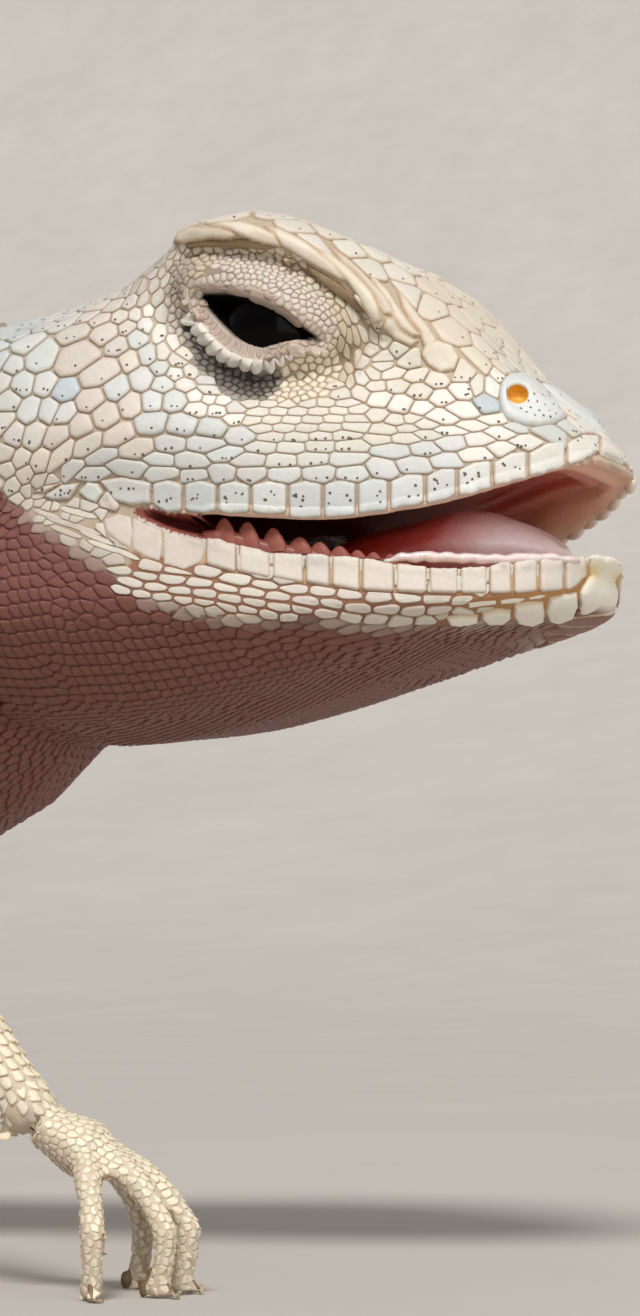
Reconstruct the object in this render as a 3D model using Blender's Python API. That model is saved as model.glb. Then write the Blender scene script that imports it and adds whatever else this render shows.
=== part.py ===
# Sinai agama, a still life-size model of the whole lizard.
# It stands on its toes with the head raised and the mouth ajar.
# Lengths are in millimetres until the last step, which turns them into metres.
# X runs back along the animal from the snout tip, the head looks along +X.
# "back" below is the distance behind the snout tip, Z is the height over the floor.
import bpy
import bmesh
import math
import numpy as np
from mathutils import Matrix, Vector

MM = 0.001
GAP = 0.3

# Head: half widths and heights against the distance behind the snout tip.
HEAD_BACKS = (0.5, 0.72, 1.05, 1.5, 2.1, 2.9, 3.8, 4.8, 5.9, 7.0, 8.1, 9.2, 10.3, 11.5, 12.7, 14.0,
              15.4, 17.0, 18.5, 20.0, 21.3)
LIP_WIDTH = ((0.35, 1.3), (0.8, 2.5), (1.4, 3.3), (2.2, 4.15), (3.2, 4.85), (4.8, 5.6), (8.0, 7.0),
             (12.0, 8.0), (16.0, 8.5), (19.0, 8.6), (22.0, 8.1))
UPPER_RIM_Z = ((0.35, 27.0), (1.1, 26.75), (2.0, 26.3), (3.2, 25.85), (4.8, 25.35), (8.0, 24.85),
               (12.2, 25.15), (14.7, 25.8), (16.0, 25.95), (22.0, 25.9))
CHEEK_WIDTH = ((0.35, 1.2), (0.8, 2.4), (1.4, 3.3), (2.2, 4.0), (3.2, 4.6), (4.8, 5.2), (8.0, 6.8),
               (12.0, 8.2), (16.0, 8.9), (19.0, 8.9), (22.0, 8.3))
CHEEK_Z = ((0.35, 27.1), (0.8, 27.3), (1.4, 27.5), (2.2, 27.8), (4.8, 28.1), (12.0, 27.9), (22.0, 28.3))
ORBIT_WIDTH = ((0.35, 1.1), (0.8, 2.1), (1.4, 2.8), (2.2, 3.4), (3.2, 3.9), (4.8, 4.4), (8.0, 5.8),
               (12.0, 6.9), (16.0, 8.0), (19.0, 8.0), (22.0, 7.4))
ORBIT_Z = ((0.35, 27.2), (0.8, 27.55), (1.4, 27.95), (2.2, 28.5), (3.2, 29.1), (4.8, 29.9), (12.0, 31.0),
           (22.0, 31.2))
BROW_WIDTH = ((0.35, 0.9), (0.8, 1.6), (1.4, 2.1), (2.2, 2.7), (3.2, 3.3), (4.8, 4.3), (6.9, 5.8),
              (8.0, 6.5), (9.7, 7.0), (11.6, 7.1), (13.9, 6.9), (16.0, 6.8), (19.0, 6.7), (22.0, 6.3))
BROW_Z = ((0.35, 27.3), (0.8, 27.75), (1.4, 28.3), (2.2, 29.0), (3.2, 29.7), (4.8, 31.1), (6.9, 31.9),
          (8.0, 32.7), (9.7, 33.9), (11.6, 34.6), (13.6, 34.3), (15.5, 32.9), (19.0, 32.0), (22.0, 31.6))
CREST_WIDTH = ((0.35, 0.6), (0.8, 1.1), (1.4, 1.5), (2.2, 1.9), (3.2, 2.2), (4.8, 2.7), (6.9, 3.6),
               (8.5, 4.7), (12.0, 5.4), (14.4, 5.0), (16.5, 4.4), (22.0, 4.0))
CREST_Z = ((0.35, 27.35), (0.8, 27.85), (1.4, 28.4), (2.2, 29.15), (3.2, 30.0), (4.8, 31.9), (6.4, 33.5),
           (8.5, 34.8), (10.5, 35.7), (12.0, 35.95), (13.6, 35.5), (15.2, 34.0), (17.0, 33.5), (22.0, 32.7))
CROWN_Z = ((0.35, 27.35), (1.0, 28.1), (1.6, 28.6), (2.5, 29.45), (3.4, 30.3), (4.0, 31.1), (4.9, 32.3),
           (6.4, 33.9), (7.9, 34.6), (12.0, 34.9), (14.4, 34.4), (17.0, 33.8), (19.0, 33.6), (23.0, 33.4))
PALATE_RISE = ((0.35, 0.0), (1.0, 0.0), (1.8, 0.4), (3.2, 1.3), (6.0, 2.0), (11.0, 1.8), (14.5, 0.8),
               (17.0, 0.0), (22.0, 0.0))
LIP_THICKNESS = 0.9

# Lower jaw and throat, measured the same way.
JAW_BACKS = (0.8, 0.95, 1.25, 1.7, 2.5, 3.5, 4.7, 6.0, 7.5, 9.0, 10.5, 12.0, 13.3, 14.7, 16.2, 17.7, 19.5, 21.3)
JAW_WIDTH = ((0.8, 1.2), (1.0, 1.9), (1.4, 2.9), (2.4, 4.0), (4.4, 5.2), (6.8, 6.3), (10.0, 7.3),
             (12.2, 7.9), (14.7, 8.4), (18.4, 8.6), (22.0, 8.2))
LOWER_RIM_Z = ((0.45, 23.55), (0.8, 23.7), (2.4, 23.35), (4.4, 23.35), (6.8, 23.5), (10.0, 23.7),
               (12.2, 24.35), (14.7, 25.45), (16.0, 25.65), (22.0, 25.6))
JAW_SIDE_Z = ((0.45, 23.0), (1.4, 22.6), (4.4, 22.0), (10.0, 22.0), (14.7, 22.4), (22.0, 22.5))
THROAT_SIDE_Z = ((0.6, 22.6), (1.4, 22.0), (4.4, 21.35), (8.5, 20.4), (12.3, 19.55), (16.3, 18.95), (22.0, 18.9))
THROAT_Z = ((0.6, 22.6), (1.1, 22.15), (2.6, 21.65), (4.8, 21.2), (8.5, 20.1), (12.3, 19.0), (16.3, 18.2),
            (19.0, 17.95), (22.0, 18.2))
MOUTH_DEPTH = ((0.45, 0.0), (1.2, 0.0), (2.2, 0.6), (4.0, 1.0), (8.0, 1.2), (12.0, 1.4), (14.5, 0.9),
               (17.0, 0.0), (22.0, 0.0))
TEETH_FROM = 5.6
TEETH_TO = 13.6
TEETH_A_SIDE = 10
TOOTH_HEIGHT = 0.75
TOOTH_BASE = 0.85

# The plane behind the head leans back by this much for each millimetre of height.
NECK_LEAN = 0.15
NECK_FOOT_Z = 18.0
HEAD_LENGTH = 21.3
LEAN_STARTS = 12.0

TONGUE_BACKS = (2.3, 2.7, 3.5, 4.7, 6.2, 8.0, 10.0, 12.0, 13.3, 13.8)
TONGUE_WIDTH = ((2.3, 0.6), (2.7, 1.4), (3.5, 2.2), (5.0, 2.9), (8.0, 3.6), (12.0, 3.6), (13.8, 2.4))
TONGUE_TOP = ((2.3, 24.1), (2.7, 24.5), (3.5, 25.0), (5.0, 25.5), (8.0, 25.5), (12.0, 25.2), (13.8, 24.6))
TONGUE_FOOT = ((2.3, 23.9), (2.7, 23.7), (3.5, 23.4), (5.0, 22.95), (8.0, 22.8), (12.0, 23.4), (13.8, 24.2))

EYE_CENTRE = Vector((-10.85, 5.05, 31.5))
EYE_RADIUS = 1.85
SOCKET_RADIUS = 2.15
LID_SIZE = Vector((2.95, 2.5, 2.6))
SLIT_LENGTH = 3.9
SLIT_HEIGHT = 1.75
SLIT_SLOPE = math.radians(27)
NOSTRIL = Vector((-2.9, 3.35, 28.95))
NOSTRIL_RADIUS = 0.34
NOSTRIL_SWELL = 0.8
NOSTRIL_SUNK = 0.5
EAR = Vector((-21.0, 8.1, 28.6))
EAR_RADIUS = 1.25

# Spine: height of the body's middle, half width and half height, down to the tail tip.
SPINE_BACKS = (17.0, 19.5, 22.0, 24.5, 27.0, 29.5, 32.0, 35.0, 39.0, 43.0, 48.0, 53.0, 58.0, 63.0, 68.0,
               72.0, 76.0, 80.0, 84.0, 88.0, 92.0, 96.0, 101.0, 106.0, 112.0, 118.0, 125.0, 133.0, 141.0,
               149.0, 157.0, 165.0, 173.0, 181.0, 189.0, 197.0, 205.0, 213.0, 221.0, 228.0, 232.0)
SPINE_Z = ((17.0, 27.8), (22.0, 25.8), (28.0, 22.8), (34.0, 20.4), (42.0, 17.4), (54.0, 13.6), (66.0, 10.8),
           (76.0, 9.1), (84.0, 7.8), (90.0, 6.5), (100.0, 4.0), (110.0, 2.35), (118.0, 2.05), (140.0, 1.65),
           (165.0, 1.3), (190.0, 0.95), (215.0, 0.62), (232.0, 0.36))
BODY_WIDTH = ((17.0, 8.0), (21.5, 8.0), (24.5, 7.1), (28.0, 7.5), (34.0, 9.0), (42.0, 10.2), (54.0, 11.4),
              (66.0, 10.8), (76.0, 8.8), (84.0, 6.9), (90.0, 5.0), (100.0, 3.6), (110.0, 2.8), (118.0, 2.35),
              (140.0, 1.85), (165.0, 1.45), (190.0, 1.08), (215.0, 0.72), (232.0, 0.3))
BODY_HEIGHT = ((17.0, 7.2), (21.5, 7.2), (24.5, 7.4), (28.0, 8.4), (34.0, 7.9), (42.0, 7.2), (54.0, 6.5),
               (66.0, 6.0), (76.0, 5.2), (84.0, 4.6), (90.0, 3.9), (100.0, 3.0), (110.0, 2.5), (118.0, 2.2),
               (140.0, 1.75), (165.0, 1.38), (190.0, 1.02), (215.0, 0.68), (232.0, 0.3))
TAIL_SWAY = ((17.0, 0.0), (90.0, 0.0), (110.0, -2.5), (135.0, -7.5), (160.0, -5.0), (185.0, 3.0), (210.0, 7.0),
             (232.0, 5.0))
NECK_END = 31.0
TORSO_END = 87.0
TAIL_CUTS = (118.0, 153.0, 190.0)

# Limbs: joints of the right side are at -Y. Each joint has its place and its radius.
RIGHT_ARM = (((-36.0, -5.5, 19.0), 2.7), ((-32.0, -9.5, 18.6), 2.6), ((-23.8, -14.5, 15.7), 1.9),
             ((-18.6, -14.6, 10.0), 1.5), ((-14.5, -14.5, 5.3), 1.0))
LEFT_ARM = (((-36.0, 5.5, 19.0), 2.7), ((-38.5, 10.0, 18.2), 2.6), ((-46.5, 13.5, 13.6), 1.9),
            ((-45.2, 16.0, 8.8), 1.6), ((-43.4, 18.6, 4.6), 1.05))
RIGHT_LEG = (((-80.0, -3.5, 8.8), 3.6), ((-77.0, -9.0, 9.6), 3.5), ((-69.5, -18.5, 12.2), 2.4),
             ((-76.5, -21.5, 8.2), 2.3), ((-84.5, -24.5, 3.3), 1.3))
LEFT_LEG = (((-80.0, 3.5, 8.8), 3.6), ((-76.0, 9.0, 9.8), 3.5), ((-65.0, 16.5, 12.4), 2.4),
            ((-70.5, 20.0, 8.2), 2.3), ((-77.0, 23.5, 3.3), 1.3))
JOINT_INDEX = 2

# Hands: heading and reach of each digit from the thumb out, and the height of the knuckles.
HAND_FAN = (48.0, 20.0, -6.0, -34.0, -78.0)
HAND_REACH = (2.2, 2.6, 2.8, 2.7, 2.4)
HAND_PALM = 2.3
FOOT_FAN = (34.0, 16.0, 2.0, -14.0, -48.0)
FOOT_REACH = (5.0, 8.6, 12.6, 12.0, 7.4)
FOOT_PALM = 5.6
DIGIT_RADIUS = 0.56
CLAW_LENGTH = 1.3
PALM_RADII = (1.05, 1.15, 1.4, 1.45, 1.1)
SOLE_RADII = (1.3, 1.3, 1.35, 1.5, 1.7, 1.8, 1.5)

COLOURS = {
    "skin": (0.72, 0.66, 0.55, 1.0),
    "throat": (0.42, 0.27, 0.24, 1.0),
    "tongue": (0.75, 0.38, 0.38, 1.0),
    "eye": (0.01, 0.008, 0.007, 1.0),
}
ROUGHNESS = {"skin": 0.6, "throat": 0.65, "tongue": 0.3, "eye": 0.08}


def curve_at(knots, where):
    """Smooth value of a named curve, a cubic through its knots with no overshoot."""
    xs = [knot[0] for knot in knots]
    ys = [knot[1] for knot in knots]
    if where <= xs[0]:
        return ys[0]
    if where >= xs[-1]:
        return ys[-1]
    slopes = [(ys[i + 1] - ys[i]) / (xs[i + 1] - xs[i]) for i in range(len(xs) - 1)]
    tangents = [slopes[0]]
    for before, after in zip(slopes, slopes[1:]):
        tangents.append(0.0 if before * after <= 0 else 2 * before * after / (before + after))
    tangents.append(slopes[-1])
    i = max(k for k in range(len(xs) - 1) if xs[k] <= where)
    step = xs[i + 1] - xs[i]
    t = (where - xs[i]) / step
    return ((1 + 2 * t) * (1 - t) ** 2 * ys[i] + t * (1 - t) ** 2 * step * tangents[i]
            + t * t * (3 - 2 * t) * ys[i + 1] + t * t * (t - 1) * step * tangents[i + 1])


def through(points, steps):
    """Points of a Catmull-Rom curve through the given ones, with steps between two of them."""
    points = [Vector(point) for point in points]
    ends = [2 * points[0] - points[1]] + points + [2 * points[-1] - points[-2]]
    out = []
    for i in range(1, len(ends) - 2):
        a, b, c, d = ends[i - 1:i + 3]
        for k in range(steps):
            t = k / steps
            out.append(0.5 * (2 * b + (c - a) * t + (2 * a - 5 * b + 4 * c - d) * t * t
                              + (3 * b - a - 3 * c + d) * t ** 3))
    out.append(points[-1])
    return out


def add_object(name, mesh_builder, kind="skin"):
    """A new object from a bmesh, facing out, with the material of its kind."""
    bmesh.ops.recalc_face_normals(mesh_builder, faces=mesh_builder.faces)
    mesh = bpy.data.meshes.new(name)
    mesh_builder.to_mesh(mesh)
    mesh_builder.free()
    obj = bpy.data.objects.new(name, mesh)
    bpy.context.scene.collection.objects.link(obj)
    mesh.materials.append(material(kind))
    return obj


def material(kind):
    found = bpy.data.materials.get(kind)
    if found:
        return found
    made = bpy.data.materials.new(kind)
    made.use_nodes = True
    surface = made.node_tree.nodes["Principled BSDF"]
    surface.inputs["Base Color"].default_value = COLOURS[kind]
    surface.inputs["Roughness"].default_value = ROUGHNESS[kind]
    surface.inputs["Metallic"].default_value = 0.0
    return made


def loft(rings):
    """One closed skin over a row of rings that all have the same count of points."""
    builder = bmesh.new()
    rows = [[builder.verts.new(point) for point in ring] for ring in rings]
    count = len(rings[0])
    for near, far in zip(rows, rows[1:]):
        for i in range(count):
            j = (i + 1) % count
            builder.faces.new((near[i], near[j], far[j], far[i]))
    builder.faces.new(rows[0])
    builder.faces.new(list(reversed(rows[-1])))
    return builder


def tube(points, radii, sides, flat=1.0):
    """A tapered round bar along the points, closed by a small ring at each end."""
    points = [Vector(point) for point in points]
    rings = []
    side = None
    for i, point in enumerate(points):
        along = (points[min(i + 1, len(points) - 1)] - points[max(i - 1, 0)]).normalized()
        if side is None:
            side = along.cross(Vector((0, 0, 1)))
        side = (side - along * side.dot(along)).normalized()
        over = side.cross(along)
        turns = [2 * math.pi * k / sides for k in range(sides)]
        ring = [point + radii[i] * (math.cos(a) * side + flat * math.sin(a) * over) for a in turns]
        rings.append(ring)
        if i == len(points) - 1:
            rings.append([point + along * radii[i] * 0.5 + (spot - point) * 0.6 for spot in ring])
    return loft(rings)


def ball(centre, radius, rows=14, sides=20):
    builder = bmesh.new()
    bmesh.ops.create_uvsphere(builder, u_segments=sides, v_segments=rows, radius=radius)
    bmesh.ops.translate(builder, verts=builder.verts, vec=centre)
    return builder


def baked(obj):
    """Replaces the object's mesh with what its modifiers make of it."""
    graph = bpy.context.evaluated_depsgraph_get()
    old = obj.data
    obj.data = bpy.data.meshes.new_from_object(obj.evaluated_get(graph))
    obj.modifiers.clear()
    bpy.data.meshes.remove(old)


def keep_largest(obj):
    """Drops every surface of the mesh but the one with the largest box."""
    builder = bmesh.new()
    builder.from_mesh(obj.data)
    bmesh.ops.dissolve_degenerate(builder, dist=0.001, edges=builder.edges)
    left = set(builder.faces)
    groups = []
    while left:
        stack = [left.pop()]
        group = set(stack)
        while stack:
            for edge in stack.pop().edges:
                for face in edge.link_faces:
                    if face in left:
                        left.remove(face)
                        group.add(face)
                        stack.append(face)
        groups.append(group)

    def size(group):
        spots = np.array([vert.co[:] for face in group for vert in face.verts])
        return float(np.prod(spots.max(axis=0) - spots.min(axis=0)))

    groups.sort(key=size)
    for group in groups[:-1]:
        bmesh.ops.delete(builder, geom=list(group), context="FACES")
    bmesh.ops.triangulate(builder, faces=builder.faces)
    builder.to_mesh(obj.data)
    builder.free()


def boolean(obj, builders, operation):
    """Joins closed pieces to the object, or cuts them from it."""
    helpers = bpy.data.collections.new("helpers")
    pieces = [add_object("helper", builder) for builder in builders]
    for piece in pieces:
        helpers.objects.link(piece)
    modifier = obj.modifiers.new("pieces", "BOOLEAN")
    modifier.operation = operation
    modifier.solver = "EXACT"
    modifier.operand_type = "COLLECTION"
    modifier.collection = helpers
    baked(obj)
    for piece in pieces:
        bpy.data.meshes.remove(piece.data)
    bpy.data.collections.remove(helpers)
    keep_largest(obj)


def copy_of(obj, grow=0.0):
    """The object's mesh as a bmesh, grown along its normals."""
    builder = bmesh.new()
    builder.from_mesh(obj.data)
    builder.normal_update()
    for vert in builder.verts:
        vert.co += vert.normal * grow
    return builder


def cut(builder, place, toward):
    """Keeps the side of the plane that lies against toward, and closes the cut."""
    done = bmesh.ops.bisect_plane(builder, geom=builder.verts[:] + builder.edges[:] + builder.faces[:],
                                  plane_co=place, plane_no=toward, clear_outer=True)
    edges = [item for item in done["geom_cut"] if isinstance(item, bmesh.types.BMEdge)]
    bmesh.ops.edgeloop_fill(builder, edges=edges)


def floor_box():
    builder = bmesh.new()
    bmesh.ops.create_cube(builder, size=1.0)
    bmesh.ops.scale(builder, vec=(500.0, 300.0, 20.0), verts=builder.verts)
    bmesh.ops.translate(builder, vec=(-100.0, 0.0, -10.0), verts=builder.verts)
    return builder


# Head

def lean(back, z):
    """X of a head ring: the rings lean back toward the neck."""
    share = max(0.0, (back - LEAN_STARTS) / (HEAD_LENGTH - LEAN_STARTS))
    return -back - share * NECK_LEAN * (z - NECK_FOOT_Z)


def mirrored_ring(back, half):
    """A closed ring from half a section, given from the middle line round to the middle line."""
    left = [Vector((lean(back, z), y, z)) for y, z in half]
    right = [Vector((lean(back, z), -y, z)) for y, z in reversed(half[1:-1])]
    return left + right


def smooth_half(points, steps):
    flat = through([(y, z, 0.0) for y, z in points], steps)
    return [(point.x, point.y) for point in flat]


def head_ring(back):
    lip = curve_at(LIP_WIDTH, back)
    rim = curve_at(UPPER_RIM_Z, back)
    rise = curve_at(PALATE_RISE, back)
    inner = lip - min(LIP_THICKNESS, 0.4 * lip)
    crown = curve_at(CROWN_Z, back)
    outside = [(0.0, crown),
               (0.5 * curve_at(CREST_WIDTH, back), 0.5 * (crown + curve_at(CREST_Z, back))),
               (curve_at(CREST_WIDTH, back), curve_at(CREST_Z, back)),
               (curve_at(BROW_WIDTH, back), curve_at(BROW_Z, back)),
               (curve_at(ORBIT_WIDTH, back), curve_at(ORBIT_Z, back)),
               (curve_at(CHEEK_WIDTH, back), curve_at(CHEEK_Z, back)),
               (lip, rim + 0.25 * (curve_at(CHEEK_Z, back) - rim)),
               (lip - 0.12, rim)]
    outside = smooth_half(outside, 2)
    palate = [(inner, rim), (inner * 0.9, rim + 0.55 * rise), (inner * 0.5, rim + 0.95 * rise), (0.0, rim + rise)]
    return mirrored_ring(back, outside + palate)


def side_of(vector, side):
    return Vector((vector.x, vector.y * side, vector.z))


def lid_ball(side):
    """The closed lids, one swelling a little longer than it is high."""
    builder = ball(Vector((0, 0, 0)), 1.0)
    bmesh.ops.scale(builder, vec=LID_SIZE, verts=builder.verts)
    bmesh.ops.translate(builder, vec=side_of(EYE_CENTRE, side), verts=builder.verts)
    return builder


def slit_cutter(side):
    """The almond gap between the lids, a lens pushed in from the side."""
    builder = bmesh.new()
    count = 9
    outline = []
    for k in range(count):
        t = k / (count - 1)
        outline.append((SLIT_LENGTH * (0.5 - t), 0.55 * SLIT_HEIGHT * math.sin(math.pi * t) ** 0.8))
    for k in range(count - 2, 0, -1):
        t = k / (count - 1)
        outline.append((SLIT_LENGTH * (0.5 - t), -0.45 * SLIT_HEIGHT * math.sin(math.pi * t) ** 0.8))
    turn = Matrix.Rotation(SLIT_SLOPE, 3, "Y")
    rings = []
    for out in (0.6, 4.0):
        centre = side_of(EYE_CENTRE + Vector((0.1, out, 0.05)), side)
        rings.append([centre + turn @ Vector((x, 0.0, z)) for x, z in outline])
    builder.free()
    return loft(rings)


def nostril_cutter(side):
    start = side_of(NOSTRIL + Vector((-0.35, -0.75, -0.1)), side)
    end = side_of(NOSTRIL + Vector((0.5, 1.2, 0.12)), side)
    return tube([start, end], [NOSTRIL_RADIUS, NOSTRIL_RADIUS], 10)


def ear_cutter(side):
    builder = ball(Vector((0, 0, 0)), EAR_RADIUS, 8, 12)
    bmesh.ops.scale(builder, vec=(0.75, 0.55, 1.25), verts=builder.verts)
    bmesh.ops.translate(builder, vec=side_of(EAR + Vector((0, 0.35, 0)), side), verts=builder.verts)
    return builder


def make_head():
    head = add_object("head", loft([head_ring(back) for back in HEAD_BACKS]))
    swells = []
    holes = []
    for side in (-1, 1):
        swells.append(lid_ball(side))
        nose = ball(side_of(NOSTRIL - Vector((0.0, NOSTRIL_SUNK, 0.0)), side), NOSTRIL_SWELL, 8, 12)
        swells.append(nose)
        holes.append(ball(side_of(EYE_CENTRE, side), SOCKET_RADIUS, 12, 18))
        holes.append(slit_cutter(side))
        holes.append(nostril_cutter(side))
        holes.append(ear_cutter(side))
    boolean(head, swells, "UNION")
    boolean(head, holes, "DIFFERENCE")
    return head


def make_eyes():
    for name, side in (("eye_right", -1), ("eye_left", 1)):
        add_object(name, ball(side_of(EYE_CENTRE, side), EYE_RADIUS, 10, 16), "eye")


def jaw_ring(back):
    width = curve_at(JAW_WIDTH, back)
    rim = curve_at(LOWER_RIM_Z, back)
    depth = curve_at(MOUTH_DEPTH, back)
    inner = width - min(LIP_THICKNESS, 0.4 * width)
    side_z = curve_at(JAW_SIDE_Z, back)
    outside = [(0.0, curve_at(THROAT_Z, back)),
               (0.34 * width, 0.6 * curve_at(THROAT_Z, back) + 0.4 * curve_at(THROAT_SIDE_Z, back)),
               (0.68 * width, curve_at(THROAT_SIDE_Z, back)),
               (0.94 * width, 0.6 * side_z + 0.4 * curve_at(THROAT_SIDE_Z, back)),
               (1.02 * width, side_z),
               (width, 0.4 * side_z + 0.6 * rim),
               (width - 0.12, rim)]
    outside = smooth_half(outside, 2)
    mouth = [(inner, rim), (inner * 0.88, rim - 0.6 * depth), (inner * 0.5, rim - 0.95 * depth), (0.0, rim - depth)]
    return mirrored_ring(back, outside + mouth)


def tooth(back, side, height):
    """A blunt four-sided point set on the inner edge of the jaw."""
    rim = curve_at(LOWER_RIM_Z, back)
    inner = curve_at(JAW_WIDTH, back) - LIP_THICKNESS + 0.1
    builder = bmesh.new()
    bmesh.ops.create_cone(builder, cap_ends=True, cap_tris=False, segments=6, radius1=0.5 * TOOTH_BASE,
                          radius2=0.06, depth=height + 0.5)
    bmesh.ops.translate(builder, verts=builder.verts,
                        vec=(-back, side * inner, rim + 0.5 * (height - 0.5)))
    return builder


def make_lower_jaw():
    jaw = add_object("lower_jaw", loft([jaw_ring(back) for back in JAW_BACKS]))
    teeth = []
    for side in (-1, 1):
        for k in range(TEETH_A_SIDE):
            share = k / (TEETH_A_SIDE - 1)
            back = TEETH_FROM + (TEETH_TO - TEETH_FROM) * share
            room = curve_at(UPPER_RIM_Z, back) - curve_at(LOWER_RIM_Z, back)
            height = min(TOOTH_HEIGHT * (0.45 + 0.55 * share), room - GAP)
            teeth.append(tooth(back, side, height))
    boolean(jaw, teeth, "UNION")
    return jaw


def make_tongue():
    rings = []
    for back in TONGUE_BACKS:
        width = curve_at(TONGUE_WIDTH, back)
        top = curve_at(TONGUE_TOP, back)
        foot = curve_at(TONGUE_FOOT, back)
        middle = 0.5 * (top + foot)
        turns = [2 * math.pi * k / 14 for k in range(14)]
        rings.append([Vector((-back, width * math.cos(a), middle + 0.5 * (top - foot) * math.sin(a)))
                      for a in turns])
    add_object("tongue", loft(rings), "tongue")


# Neck, torso and tail

def spine_point(back):
    return Vector((-back, curve_at(TAIL_SWAY, back), curve_at(SPINE_Z, back)))


def spine_frame(back):
    point = spine_point(back)
    along = (spine_point(back + 1.0) - spine_point(back - 1.0)).normalized()
    side = along.cross(Vector((0, 0, 1))).normalized()
    return point, along, side, side.cross(along)


def spine_ring(back):
    point, along, side, over = spine_frame(back)
    width = curve_at(BODY_WIDTH, back)
    height = curve_at(BODY_HEIGHT, back)
    ring = []
    for k in range(22):
        a = 2 * math.pi * (k + 0.5) / 22
        across = math.copysign(abs(math.cos(a)) ** 0.9, math.cos(a))
        rise = math.copysign(abs(math.sin(a)) ** 0.9, math.sin(a))
        ring.append(point + side * width * across + over * height * rise)
    return ring


def spine_piece(name, start, end):
    """A length of the one spine loft between two planes, each half a gap short of the cut."""
    builder = loft([spine_ring(back) for back in SPINE_BACKS])
    if start is not None:
        point, along = start
        cut(builder, point + along * (0.5 * GAP), -along)
    if end is not None:
        point, along = end
        cut(builder, point - along * (0.5 * GAP), along)
    obj = add_object(name, builder)
    keep_largest(obj)
    return obj


def make_spine():
    along = Vector((-1.0, 0.0, -NECK_LEAN)).normalized()
    head_plane = (Vector((-HEAD_LENGTH, 0.0, NECK_FOOT_Z)) + along * (0.5 * GAP), along)
    cuts = [head_plane]
    for back in (NECK_END, TORSO_END) + TAIL_CUTS:
        frame = spine_frame(back)
        cuts.append((frame[0], frame[1]))
    cuts.append(None)
    names = ("neck", "torso", "tail_1", "tail_2", "tail_3", "tail_4")
    made = {}
    for name, start, end in zip(names, cuts, cuts[1:]):
        made[name] = spine_piece(name, start, end)
        if name.startswith("tail"):
            boolean(made[name], [floor_box()], "DIFFERENCE")
    return made


# Limbs

def limb_path(joints, steps):
    path = through([place for place, radius in joints], steps)
    radii = through([(radius, 0.0, 0.0) for place, radius in joints], steps)
    return path, [value.x for value in radii]


def limb_pieces(names, joints, steps=5):
    """Upper and lower part of a limb: one bent tube, parted at the elbow or knee."""
    path, radii = limb_path(joints, steps)
    middle = JOINT_INDEX * steps
    along = (path[middle + 1] - path[middle - 1]).normalized()
    upper = tube(path, radii, 12)
    cut(upper, path[middle] - along * (0.5 * GAP), along)
    lower = tube(path, radii, 12)
    cut(lower, path[middle] + along * (0.5 * GAP), -along)
    ending = (path[-1] - path[-2]).normalized()
    cut(lower, path[-1] - ending * (0.5 * GAP), ending)
    pieces = []
    for name, builder in zip(names, (upper, lower)):
        pieces.append(add_object(name, builder))
        keep_largest(pieces[-1])
    return pieces, path[-1] + ending * (0.5 * GAP), ending


def digit(points, first, last):
    """A finger or toe with swollen joints, and the claw that ends it."""
    path = through(points, 2)
    radii = []
    for i in range(len(path)):
        share = i / (len(path) - 1)
        swell = 1.08 if i % 2 == 0 else 0.94
        radii.append((first + (last - first) * share) * swell)
    return tube(path, radii, 7)


def claw(tip, direction):
    direction = Vector(direction).normalized()
    down = Vector((0, 0, -1))
    path = []
    radii = []
    for k in range(4):
        t = k / 3
        spot = tip + direction * CLAW_LENGTH * (t - 0.3) + down * 0.28 * (t * t - 0.4)
        path.append(Vector((spot.x, spot.y, max(spot.z, 0.12))))
        radii.append(0.34 * (1 - t) + 0.07)
    return tube(path, radii, 5)


def fan_direction(heading, turn, side):
    angle = math.radians(heading - side * turn)
    return Vector((math.cos(angle), math.sin(angle), 0.0))


def make_hand(name, wrist, entry, heading, side, arch):
    """Palm with five arched digits that stand on their tips."""
    forward = fan_direction(heading, 0.0, side)
    knuckle = wrist + forward * HAND_PALM
    knuckle.z = arch
    palm_end = wrist + 0.85 * (knuckle - wrist)
    path = through([wrist, 0.5 * (wrist + knuckle), palm_end], 2)
    palm = tube(path, PALM_RADII, 10, 0.72)
    hand = add_object(name, palm)
    parts = []
    for turn, reach in zip(HAND_FAN, HAND_REACH):
        out = fan_direction(heading, turn, side)
        root = wrist + 0.55 * (knuckle - wrist) + out * 0.5
        high = root + out * 0.55 * reach
        high.z = 0.92 * arch
        low = root + out * 1.05 * reach
        low.z = 0.5 * arch
        tip = root + out * 0.92 * reach
        tip.z = 0.16
        parts.append(digit([root, high, low, tip], DIGIT_RADIUS, 0.42))
        parts.append(claw(tip, out + Vector((0, 0, -0.15))))
    boolean(hand, parts, "UNION")
    boolean(hand, [floor_box()], "DIFFERENCE")
    return hand


def make_foot(name, ankle, entry, heading, side):
    """Long sole with five toes laid on the floor, the third the longest."""
    forward = fan_direction(heading, 0.0, side)
    heel = ankle + 0.2 * forward
    ball_end = ankle + forward * FOOT_PALM
    middle = ankle + forward * (0.45 * FOOT_PALM)
    middle.z = 1.35
    ball_end.z = 0.85
    path = through([heel, middle, ball_end], 3)
    sole = tube(path, SOLE_RADII, 10, 0.7)
    foot = add_object(name, sole)
    parts = []
    for turn, reach in zip(FOOT_FAN, FOOT_REACH):
        out = fan_direction(heading, turn, side)
        shift = 0.85 * (out - forward)
        root = ankle + forward * (FOOT_PALM - 1.6) + shift
        root.z = 1.0
        first = root + out * 0.35 * reach
        first.z = 1.15
        second = root + out * 0.7 * reach
        second.z = 0.62
        tip = root + out * reach
        tip.z = 0.4
        parts.append(digit([root, first, second, tip], 0.62, 0.42))
        parts.append(claw(tip, out + Vector((0, 0, -0.1))))
    boolean(foot, parts, "UNION")
    boolean(foot, [floor_box()], "DIFFERENCE")
    return foot


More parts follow.
